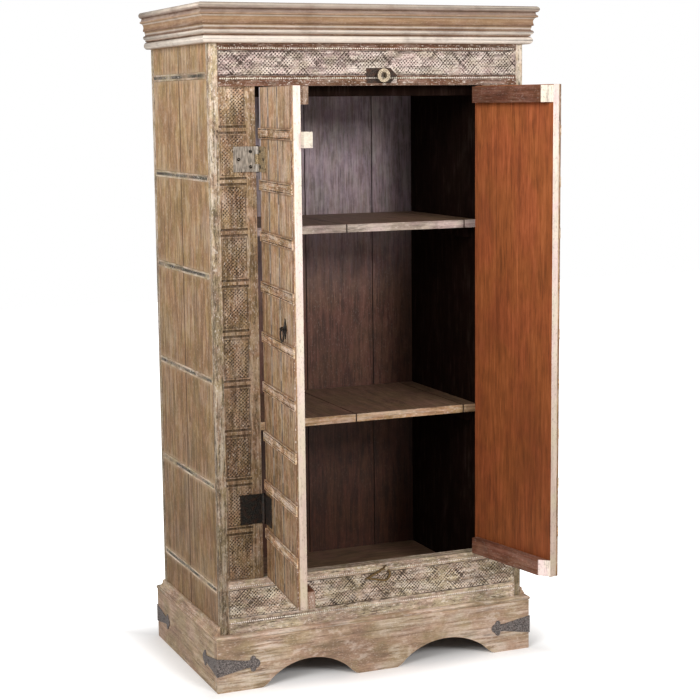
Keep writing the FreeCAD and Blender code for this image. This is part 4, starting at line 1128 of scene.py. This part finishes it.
class CABINET_OT_plinth(bpy.types.Operator):
    """Plinth boards, cap, corner blocks and the mouldings on it"""

    bl_idname = "cabinet.plinth"
    bl_label = "Plinth"

    def execute(self, context):
        timber = context.scene.cabinet_timber
        tones = shades(timber.plinth, 0.55, 1.35)
        cap_tones = shades(timber.tan, 0.6, 1.5)
        side_tones = shades(timber.brown, 0.55, 1.8)
        front = plank_material("sanded_mango_front", timber, "X", tones, 21, lime=0.35, patch_share=1.3)
        side = plank_material("sanded_mango_side", timber, "Y", tones, 22, lime=0.15, patch_share=1.3)
        rough = plank_material("rough_sawn_pine", timber, "X", side_tones, 23, lime=0.05)
        cap_front = plank_material("limed_cap_front", timber, "X", cap_tones, 24, lime=0.45, edge=0.9)
        cap_side = plank_material("waxed_cap_side", timber, "Y", shades(timber.tan, 0.45, 1.3), 25, lime=0.2,
                                  fleck=0.35)
        dress("plinth_front", front, timber.arris)
        for name in ("plinth_left", "plinth_right"):
            dress_board(name, side, timber.arris)
        dress_board("plinth_back", rough, timber.arris)
        dress("plinth_corner_blocks", rough, timber.arris)
        dress("plinth_cap_front", cap_front)
        dress("plinth_cap_returns", cap_side)
        dress("base_mouldings", cap_side)
        return {"FINISHED"}


class CABINET_OT_sides(bpy.types.Operator):
    """Posts, side planks and their dark rails"""

    bl_idname = "cabinet.sides"
    bl_label = "Posts and sides"

    def execute(self, context):
        timber = context.scene.cabinet_timber
        carving = context.scene.cabinet_carving
        for name in ("post_front_left", "post_front_right", "posts_back"):
            post = plank_material(f"weathered_{name}", timber, "Z", shades(timber.post, 0.35, 1.35), 31,
                                  foot_darkening=(name, "#b8b3aa"), lime=0.55, crack=1.0, fleck=0.6, patch_share=0.6,
                                  edge=0.3, contrast=1.4)
            dress(name, post)
        rail = rail_material(timber)
        for outwards in (Vector((-1, 0, 0)), Vector((1, 0, 0))):
            self.side(outwards, timber, carving, rail)
        return {"FINISHED"}

    def side(self, outwards, timber, carving, rail):
        """Two rows of planks, and six rails with carved faces between them."""
        side = "right" if outwards.x > 0 else "left"
        planks = f"side_planks_{side}"
        rails = f"side_rails_{side}"
        low, high = box_in(planks)
        rail_low, rail_high = box_in(rails)
        half = carving.side_rail / 2
        middles = places_along(low, high, 2, SIDE_RAIL_SHARES)
        spans = []
        for foot, top in spans_between(low.z, high.z, middles, half):
            corners = Vector((low.x, low.y, foot)), Vector((high.x, high.y, top))
            spans += side_by_side(*corners, 1, 0, SIDE_JOINT_SHARES, timber.joint)
        joints = places_along(low, high, 1, SIDE_JOINT_SHARES[1:-1])
        plank = plank_material(f"dull_side_plank_{side}", timber, "Z", shades(timber.side, 0.6, 1.35), 32,
                               foot_darkening=(planks, "#bcb6ad"), joints=("Y", joints),
                               rims=("Z", middles, timber.post), lime=0.22, fleck=0.22, patch_share=1.2,
                               edge=0.7, contrast=1.6)
        dress_boards(planks, spans, plank, timber.arris)
        rise = carving.panel_rise * LOW_RISE_SHARE
        outer = rail_high.x if side == "right" else rail_low.x
        inner = low.x if side == "right" else high.x
        near, far = sorted((outer - outwards.x * rise, inner))
        core = boards(f"{rails}_core", [((near, rail_low.y, middle - half), (far, rail_high.y, middle + half))
                                        for middle in middles], 0.0)
        parts = [(core.data, Matrix.Identity(4))]
        for number, middle in enumerate(middles):
            mesh = carved_panel(f"{rails}_{number}", rail_high.y - rail_low.y, carving.side_rail, rise, rail,
                                carving, number + 40)
            centre = Vector((outer, (rail_low.y + rail_high.y) / 2, middle)) - outwards * rise
            parts.append((mesh, Matrix.Translation(centre) @ facing(outwards)))
        dress_joined(rails, parts, rail)
        bpy.data.objects.remove(core)


class CABINET_OT_inside(bpy.types.Operator):
    """Back, linings, floor, roof, shelves and cleats"""

    bl_idname = "cabinet.inside"
    bl_label = "Inside"

    def execute(self, context):
        timber = context.scene.cabinet_timber
        shadow_tones = shades(timber.shadow, 0.4, 1.8)
        low, high = box_in("back_planks")
        joints = places_along(low, high, 0, BACK_JOINT_SHARES[1:-1])
        back = back_material(timber, joints)
        # Painted shade: the linings, stop rail, roof board and cleats are made nearly black where the inside lies
        # in shadow
        dark = stained_material("black_stained_lining", timber, "Z", shadow_tones, 42,
                                roughness=0.8, specular=0.05)
        level = stained_material("stained_level", timber, "X", shades(timber.shelf, 0.5, 1.4), 43)
        rough = plank_material("rough_sawn_back", timber, "X", shades(timber.brown, 0.6, 1.5), 44)
        spans = side_by_side(low, high, 0, 1, BACK_JOINT_SHARES, timber.joint)
        dress_boards("back_planks", spans, back, timber.arris)
        dress("back_battens", rough, timber.arris)
        for name in ("lining_left", "lining_right", "door_stop_rail", "roof_board"):
            dress_board(name, dark, timber.arris)
        dress_board("floor_board", level, timber.arris)
        dress("shelf_cleats", dark, timber.arris)
        for place, shares in SHELF_JOINT_SHARES.items():
            name = f"shelf_{place}"
            low, high = box_in(name)
            joints = places_along(low, high, 0, shares[1:-1])
            edge_tone = timber.faded if place == "upper" else timber.door
            shelf = shelf_material(f"planed_{name}", timber, name, edge_tone, joints)
            spans = side_by_side(low, high, 0, 2, shares, timber.joint)
            dress_boards(name, spans, shelf, timber.arris * 0.6)
        return {"FINISHED"}


class CABINET_OT_cornice(bpy.types.Operator):
    """Limewashed cornice with its back rail and lid"""

    bl_idname = "cabinet.cornice"
    bl_label = "Cornice"

    def execute(self, context):
        timber = context.scene.cabinet_timber
        front = cornice_material("limed_rubbed_pine_front", timber, "X", 0.35, "#c8c5c0")
        side = cornice_material("limed_rubbed_pine_side", timber, "Y", 0.7, "#fffcf6")
        rough = plank_material("rough_sawn_lid", timber, "X", shades(timber.brown, 0.6, 1.6), 51)
        dress("cornice_front", front)
        dress("cornice_left", side)
        dress("cornice_right", side)
        for name in ("cornice_back", "cornice_lid"):
            dress_board(name, rough, timber.arris)
        return {"FINISHED"}


class CABINET_OT_carved_frame(bpy.types.Operator):
    """Frieze, apron and stiles with their carving"""

    bl_idname = "cabinet.carved_frame"
    bl_label = "Carved frame"

    def execute(self, context):
        timber = context.scene.cabinet_timber
        carving = context.scene.cabinet_carving
        beads = plank_material("limed_beads", timber, "X", shades(timber.lime, 0.5, 1.0), 64, fleck=0.4)
        for number, (rail, middle, moulding_middle, lime) in enumerate((
            ("frieze", timber.frieze, timber.moulding, 0.5),
            ("apron", timber.apron, timber.apron, 0.4),
        )):
            field = carved_material(f"old_carved_{rail}", timber, "X", middle, 61 + number, lime=lime,
                                    fleck=0.5, dirt=1.0, contrast=1.5)
            moulding = plank_material(f"old_{rail}_moulding", timber, "X", shades(moulding_middle, 0.5, 1.6),
                                      66 + number, lime=0.17, crack=1.0, fleck=0.55, patch_share=0.6)
            self.rail(rail, number, field, moulding, beads, carving)
        for side in ("left", "right"):
            name = f"stile_{side}"
            old = carved_material(f"old_carved_{name}", timber, "Z", timber.honey, 63, foot_darkening=(name, "#c4beb5"),
                                  hollow=(box_in(name)[0].y, carving.tile_relief), contrast=1.5,
                                  lime=0.28, fleck=0.5, dirt=0.85)
            self.stile(name, old, carving, timber)
        return {"FINISHED"}

    def rail(self, rail, number, field, moulding, beads, carving):
        """A rail with its carved field, mouldings and two rows of beads."""
        low, high = box_in(f"{rail}_rail")
        foot_share, top_share = FIELD_SHARES[rail]
        foot, top = places_along(low, high, 2, FIELD_SHARES[rail])
        dress_board(f"{rail}_rail", field, 0.0)
        dress(f"{rail}_mouldings", moulding)
        mesh = carved_panel(f"{rail}_carving", high.x - low.x, top - foot, carving.panel_rise, field, carving,
                            number, border_share=0.45, cuts=0.95)
        mesh.transform(Matrix.Translation(((low.x + high.x) / 2, low.y, (foot + top) / 2)) @ facing(OUTWARDS))
        finish_piece(new_object(f"{rail}_carving", mesh), field, "carcass")
        front = box_in(f"{rail}_mouldings")[0].y + carving.bead_radius
        below, above = BEAD_ROW_SHARES
        row_shares = (foot_share * below, top_share + (1 - top_share) * above)
        rows = [bead_row(f"{rail}_beads_{row}", low.x, high.x, front, height, beads, carving, row)
                for row, height in enumerate(places_along(low, high, 2, row_shares))]
        finish_piece(joined(f"{rail}_beads", rows), beads, "carcass")

    def stile(self, name, material, carving, timber):
        """A jamb with a plain edge strip, ten carved tiles and the bars between them."""
        low, high = box_in(name)
        ground = low.y + carving.tile_relief
        if name.endswith("right"):
            edge_low, edge_high = low.x, low.x + carving.stile_edge
            tile_low, tile_high = edge_high, high.x
        else:
            edge_low, edge_high = high.x - carving.stile_edge, high.x
            tile_low, tile_high = low.x, edge_low
        pitch = (high.z - low.z) * CELL_PITCH_SHARE
        middle = (low.z + high.z) / 2 + carving.cell_rise
        bands = [middle + step * pitch for step in BAND_STEPS]
        half = carving.tile_bar / 2
        spans = [
            ((tile_low, ground, low.z), (tile_high, high.y, high.z)),
            ((edge_low, low.y, low.z), (edge_high, high.y, high.z)),
        ]
        spans += [((tile_low, low.y, band - half), (tile_high, ground, band + half)) for band in bands]
        body = boards(f"{name}_body", spans, timber.arris * 0.6)
        parts = [(body.data, Matrix.Identity(4))]
        for number, (foot, top) in enumerate(spans_between(low.z, high.z, bands, carving.tile_gap / 2)):
            mesh = carved_panel(f"{name}_tile_{number}", tile_high - tile_low, top - foot,
                                carving.tile_relief, material, carving, number + 10)
            centre = Vector(((tile_low + tile_high) / 2, ground, (foot + top) / 2))
            parts.append((mesh, Matrix.Translation(centre) @ facing(OUTWARDS)))
        dress_joined(name, parts, material)
        bpy.data.objects.remove(body)


class CABINET_OT_doors(bpy.types.Operator):
    """Both doors: planks, crossbands with rosettes, battens and the stop block"""

    bl_idname = "cabinet.doors"
    bl_label = "Doors"

    def execute(self, context):
        timber = context.scene.cabinet_timber
        carving = context.scene.cabinet_carving
        for side in ("left", "right"):
            place = door_place(side)
            self.planks(side, place, timber, carving)
            self.crossbands(side, place, timber, carving)
            battens = f"door_{side}_battens"
            dress(battens, batten_material(f"dark_{battens}", timber, side, place), timber.arris * 0.4)
        block = plank_material("pale_stop_block", timber, "X", shades(timber.block, 0.75, 1.05), 71,
                               place=door_place("left"), lime=0.2, fleck=0.1, contrast=0.6)
        dress("door_left_stop_block", block, timber.arris)
        return {"FINISHED"}

    def planks(self, side, place, timber, carving):
        """Three upright planks."""
        name = f"door_{side}_planks"
        low, high = box_in(name, place)
        spans = side_by_side(low, high, 0, 1, door_joints(side), timber.joint, timber.skin / 2)
        material = door_material(f"old_{name}", timber, side, place, carving)
        dress_boards(name, spans, material, timber.arris, place)

    def crossbands(self, side, place, timber, carving):
        """Nine carved bands, a rosette at each joint, and a dark bead along the free edge."""
        name = f"door_{side}_crossbands"
        low, high = box_in(name, place)
        plank_low, plank_high = box_in(f"door_{side}_planks", place)
        material = carved_material(f"old_{name}", timber, "X", timber.door, 72, place=place, lime=0.4,
                                   fleck=0.5, contrast=1.3)
        pitch = band_pitch(side, carving)
        middles = [low.z + carving.crossband / 2 + number * pitch for number in range(len(BAND_STEPS))]
        seams = places_along(plank_low, plank_high, 0, door_joints(side)[1:-1])
        parts = []
        for number, middle in enumerate(middles):
            mesh = carved_panel(f"{name}_{number}", high.x - low.x, carving.crossband, high.y - low.y,
                                material, carving, number + 80, border_share=0.8)
            centre = Vector(((low.x + high.x) / 2, high.y, middle))
            parts.append((mesh, place @ Matrix.Translation(centre) @ facing(OUTWARDS)))
        dress_joined(name, parts, material)
        dots = [(seam, low.y, middle) for middle in middles for seam in seams]
        flower = rosette(carving.crossband * ROSETTE_RADIUS_SHARE, carving.panel_rise * LOW_RISE_SHARE)
        finish_piece(repeated(f"door_{side}_rosettes", flower, dots, OUTWARDS, material, place), material,
                     f"{side}_door")
        half = carving.crossband / 2
        wide = carving.bead_radius
        edge_low = plank_high.x - wide if side == "left" else plank_low.x
        front = low.y + (high.y - low.y) / 4
        spans = [((edge_low, front, foot), (edge_low + wide, high.y, top))
                 for foot, top in spans_between(plank_low.z, plank_high.z, middles, half)]
        bead = plank_material(f"dark_edge_bead_{side}", timber, "Z", shades(timber.brown, 0.4, 1.2), 75,
                              place=place, fleck=0.5)
        finish_piece(boards(f"door_{side}_edge_bead", spans, timber.arris * 0.5, place), bead, f"{side}_door")


class CABINET_OT_ironwork(bpy.types.Operator):
    """Straps, hinges, screws, ring eye, loop and pulls"""

    bl_idname = "cabinet.ironwork"
    bl_label = "Ironwork"

    def execute(self, context):
        iron = context.scene.cabinet_iron
        strap = iron_material("forged_grey_strap", iron, iron.strap, roughness=0.6, rust=0.12, metallic=0.4)
        black = iron_material("blackened_iron", iron, iron.black, roughness=0.45)
        plate = iron_material("rusty_latch_plate", iron, iron.plate, roughness=0.7, rust=0.5, metallic=0.2)
        loop = iron_material("brass_brown_loop", iron, iron.loop, roughness=0.5, metallic=0.5)
        bright = iron_material("rubbed_bright_iron", iron, iron.bright, roughness=0.4, rust=0.10)
        leaves = leaf_material(iron)
        for name in ("strap_front_left", "strap_front_right", "straps_back", "strap_nails"):
            dress(name, strap)
        dress("hinge_upper_frame_leaves", zinc_material("dull_zinc_steel", iron, iron.zinc))
        for name in ("hinge_lower_frame_leaves", "hinge_pins", "door_left_pull_plate",
                     "door_right_pull_plate", "door_left_pull_ring", "door_right_pull_ring"):
            dress(name, black)
        for name in ("door_left_hinge_leaves", "door_right_hinge_leaves"):
            dress(name, leaves)
        dress("ring_plate", plate)
        dress("apron_loop", loop)
        dress("ring_eye", bright)
        dress("apron_staple", bright)
        self.frame_screws(iron, black)
        for side in ("left", "right"):
            self.door_screws(side, iron, black)
        return {"FINISHED"}

    def frame_screws(self, iron, material):
        """Three screws in each hinge leaf on the frame."""
        stile_low, _ = box_in("stile_right")
        for level in ("upper", "lower"):
            low, high = box_in(f"hinge_{level}_frame_leaves")
            dots = []
            for side in (-1, 1):
                for across, up in LEAF_SCREW_SHARES:
                    x = side * (stile_low.x + across * (high.x - stile_low.x))
                    dots.append((x, stile_low.y - iron.leaf, low.z + up * (high.z - low.z)))
            piece = repeated(f"hinge_{level}_screws", screw_head(iron), dots, OUTWARDS, material)
            finish_piece(piece, material, "carcass")

    def door_screws(self, side, iron, material):
        """Three screws in each hinge leaf on a door."""
        place = door_place(side)
        low, high = box_in(f"door_{side}_hinge_leaves", place)
        face = box_in(f"door_{side}_planks", place)[0].y - iron.leaf
        reach = high.x if side == "left" else low.x
        dots = []
        for level in ("upper", "lower"):
            leaf_low, leaf_high = box_in(f"hinge_{level}_frame_leaves")
            for across, up in LEAF_SCREW_SHARES:
                dots.append((across * reach, face, leaf_low.z + up * (leaf_high.z - leaf_low.z)))
        piece = repeated(f"door_{side}_screws", screw_head(iron), dots, OUTWARDS, material, place)
        finish_piece(piece, material, f"{side}_door")


class CABINET_OT_stage(bpy.types.Operator):
    """Camera, lamps, floor and the pale surroundings"""

    bl_idname = "cabinet.stage"
    bl_label = "Stage"

    def execute(self, context):
        stage = context.scene.cabinet_stage
        self.camera(context.scene, stage)
        self.floor(stage)
        self.lamps(context.scene, stage)
        self.surroundings(context.scene, stage)
        context.scene.view_settings.view_transform = "Standard"
        return {"FINISHED"}

    def camera(self, scene, stage):
        """The camera at the photograph's viewing angle."""
        flat = math.cos(stage.pitch)
        ahead = Vector((math.sin(stage.yaw) * flat, math.cos(stage.yaw) * flat, -math.sin(stage.pitch)))
        across = Vector((math.cos(stage.yaw), -math.sin(stage.yaw), 0))
        above = across.cross(ahead)
        right = across * math.cos(stage.roll) + above * math.sin(stage.roll)
        up = above * math.cos(stage.roll) - across * math.sin(stage.roll)
        camera = bpy.data.objects.new("camera", bpy.data.cameras.new("camera"))
        camera.data.sensor_width = SENSOR_WIDTH
        camera.data.lens = stage.focal / IMAGE_SIDE * SENSOR_WIDTH
        turn = Matrix((right, up, -ahead)).transposed().to_4x4()
        camera.matrix_world = Matrix.Translation(stage.eye) @ turn
        scene.collection.objects.link(camera)
        scene.camera = camera

    def floor(self, stage):
        """A floor that shows white to the camera, its glow fading round and under the plinth into a painted
        shadow.
        """
        mesh = bpy.data.meshes.new("floor")
        reach = stage.reach
        corners = [(-reach, -reach, 0), (reach, -reach, 0), (reach, reach, 0), (-reach, reach, 0)]
        mesh.from_pydata(corners, [], [(0, 1, 2, 3)])
        material, add, where = new_material("white_paper_floor")
        seen = add("ShaderNodeLightPath").outputs["Is Camera Ray"]
        parts = add("PARTS", where).outputs
        front, back = box_in("plinth_front")[0], box_in("plinth_back")[1]
        along = add("ABSOLUTE", add("SUBTRACT", parts["Y"], (front.y + back.y) / 2))
        behind = add("SUBTRACT", along, (back.y - front.y) / 2)
        beside = add("SUBTRACT", add("ABSOLUTE", parts["X"]), -front.x)
        away = add("MAXIMUM", beside, behind)
        # Painted shadow: the glow fades out from a little way outside the plinth's outline to a little way inside
        # it
        glow_with_painted_shadow = add("STEP", away, -stage.near, stage.far)
        shader = add("ShaderNodeBsdfPrincipled", {
            "Base Color": stage.paper,
            "Roughness": 0.9,
            "Specular IOR Level": 0.0,
            "Emission Color": WHITE,
            "Emission Strength": add("MULTIPLY", seen, glow_with_painted_shadow),
        })
        add("ShaderNodeOutputMaterial", shader)
        mesh.materials.append(material)
        new_object("floor", mesh)

    def lamps(self, scene, stage):
        """Two large soft lamps."""
        target = Vector(stage.target)
        for name in ("key", "front"):
            place = Vector(getattr(stage, f"{name}_place"))
            light = bpy.data.lights.new(name, "AREA")
            light.shape = "SQUARE"
            light.size = getattr(stage, f"{name}_size")
            light.energy = getattr(stage, name)
            lamp = bpy.data.objects.new(name, light)
            lamp.location = place
            lamp.rotation_euler = (target - place).to_track_quat("-Z", "Y").to_euler()
            scene.collection.objects.link(lamp)

    def surroundings(self, scene, stage):
        """An even light from all round that the camera sees as white."""
        world = bpy.data.worlds.new("surroundings")
        scene.world = world
        world.use_nodes = True
        world.node_tree.nodes.clear()
        add = partial(add_node, world.node_tree)
        rays = add("ShaderNodeLightPath").outputs
        seen = add("MAXIMUM", rays["Is Camera Ray"], rays["Is Glossy Ray"])
        seen = add("MAXIMUM", seen, rays["Is Transmission Ray"])
        dim = add("ShaderNodeBackground", WHITE, stage.ambient)
        white = add("ShaderNodeBackground", WHITE, 1.0)
        add("ShaderNodeOutputWorld", add("ShaderNodeMixShader", seen, dim, white))


OPERATORS = (
    CABINET_OT_plinth,
    CABINET_OT_sides,
    CABINET_OT_inside,
    CABINET_OT_cornice,
    CABINET_OT_carved_frame,
    CABINET_OT_doors,
    CABINET_OT_ironwork,
    CABINET_OT_stage,
)


class CABINET_PT_panel(bpy.types.Panel):
    """The cabinet's settings and makers"""

    bl_label = "Cabinet"
    bl_idname = "CABINET_PT_panel"
    bl_space_type = "VIEW_3D"
    bl_region_type = "UI"
    bl_category = "Cabinet"

    def draw(self, context):
        for operator in OPERATORS:
            self.layout.operator(operator.bl_idname)
        for name, kind in SETTINGS:
            settings = getattr(context.scene, name)
            box = self.layout.box()
            box.label(text=kind.__doc__)
            for field in kind.__annotations__:
                box.prop(settings, field, text=field.replace("_", " ").capitalize())


def register():
    """Register the settings, operators and panel."""
    for name, kind in SETTINGS:
        bpy.utils.register_class(kind)
        setattr(bpy.types.Scene, name, PointerProperty(type=kind))
    for operator in OPERATORS:
        bpy.utils.register_class(operator)
    bpy.utils.register_class(CABINET_PT_panel)


def unregister():
    """Undo register."""
    bpy.utils.unregister_class(CABINET_PT_panel)
    for operator in reversed(OPERATORS):
        bpy.utils.unregister_class(operator)
    for name, kind in reversed(SETTINGS):
        delattr(bpy.types.Scene, name)
        bpy.utils.unregister_class(kind)


def main():
    """Make the node trees and run the operators in order."""
    register()
    for maker in (carving_tree, bead_tree, repeat_tree, timber_group):
        maker()
    for operator in OPERATORS:
        group, name = operator.bl_idname.split(".")
        getattr(getattr(bpy.ops, group), name)()


if __name__ == "__main__":
    main()
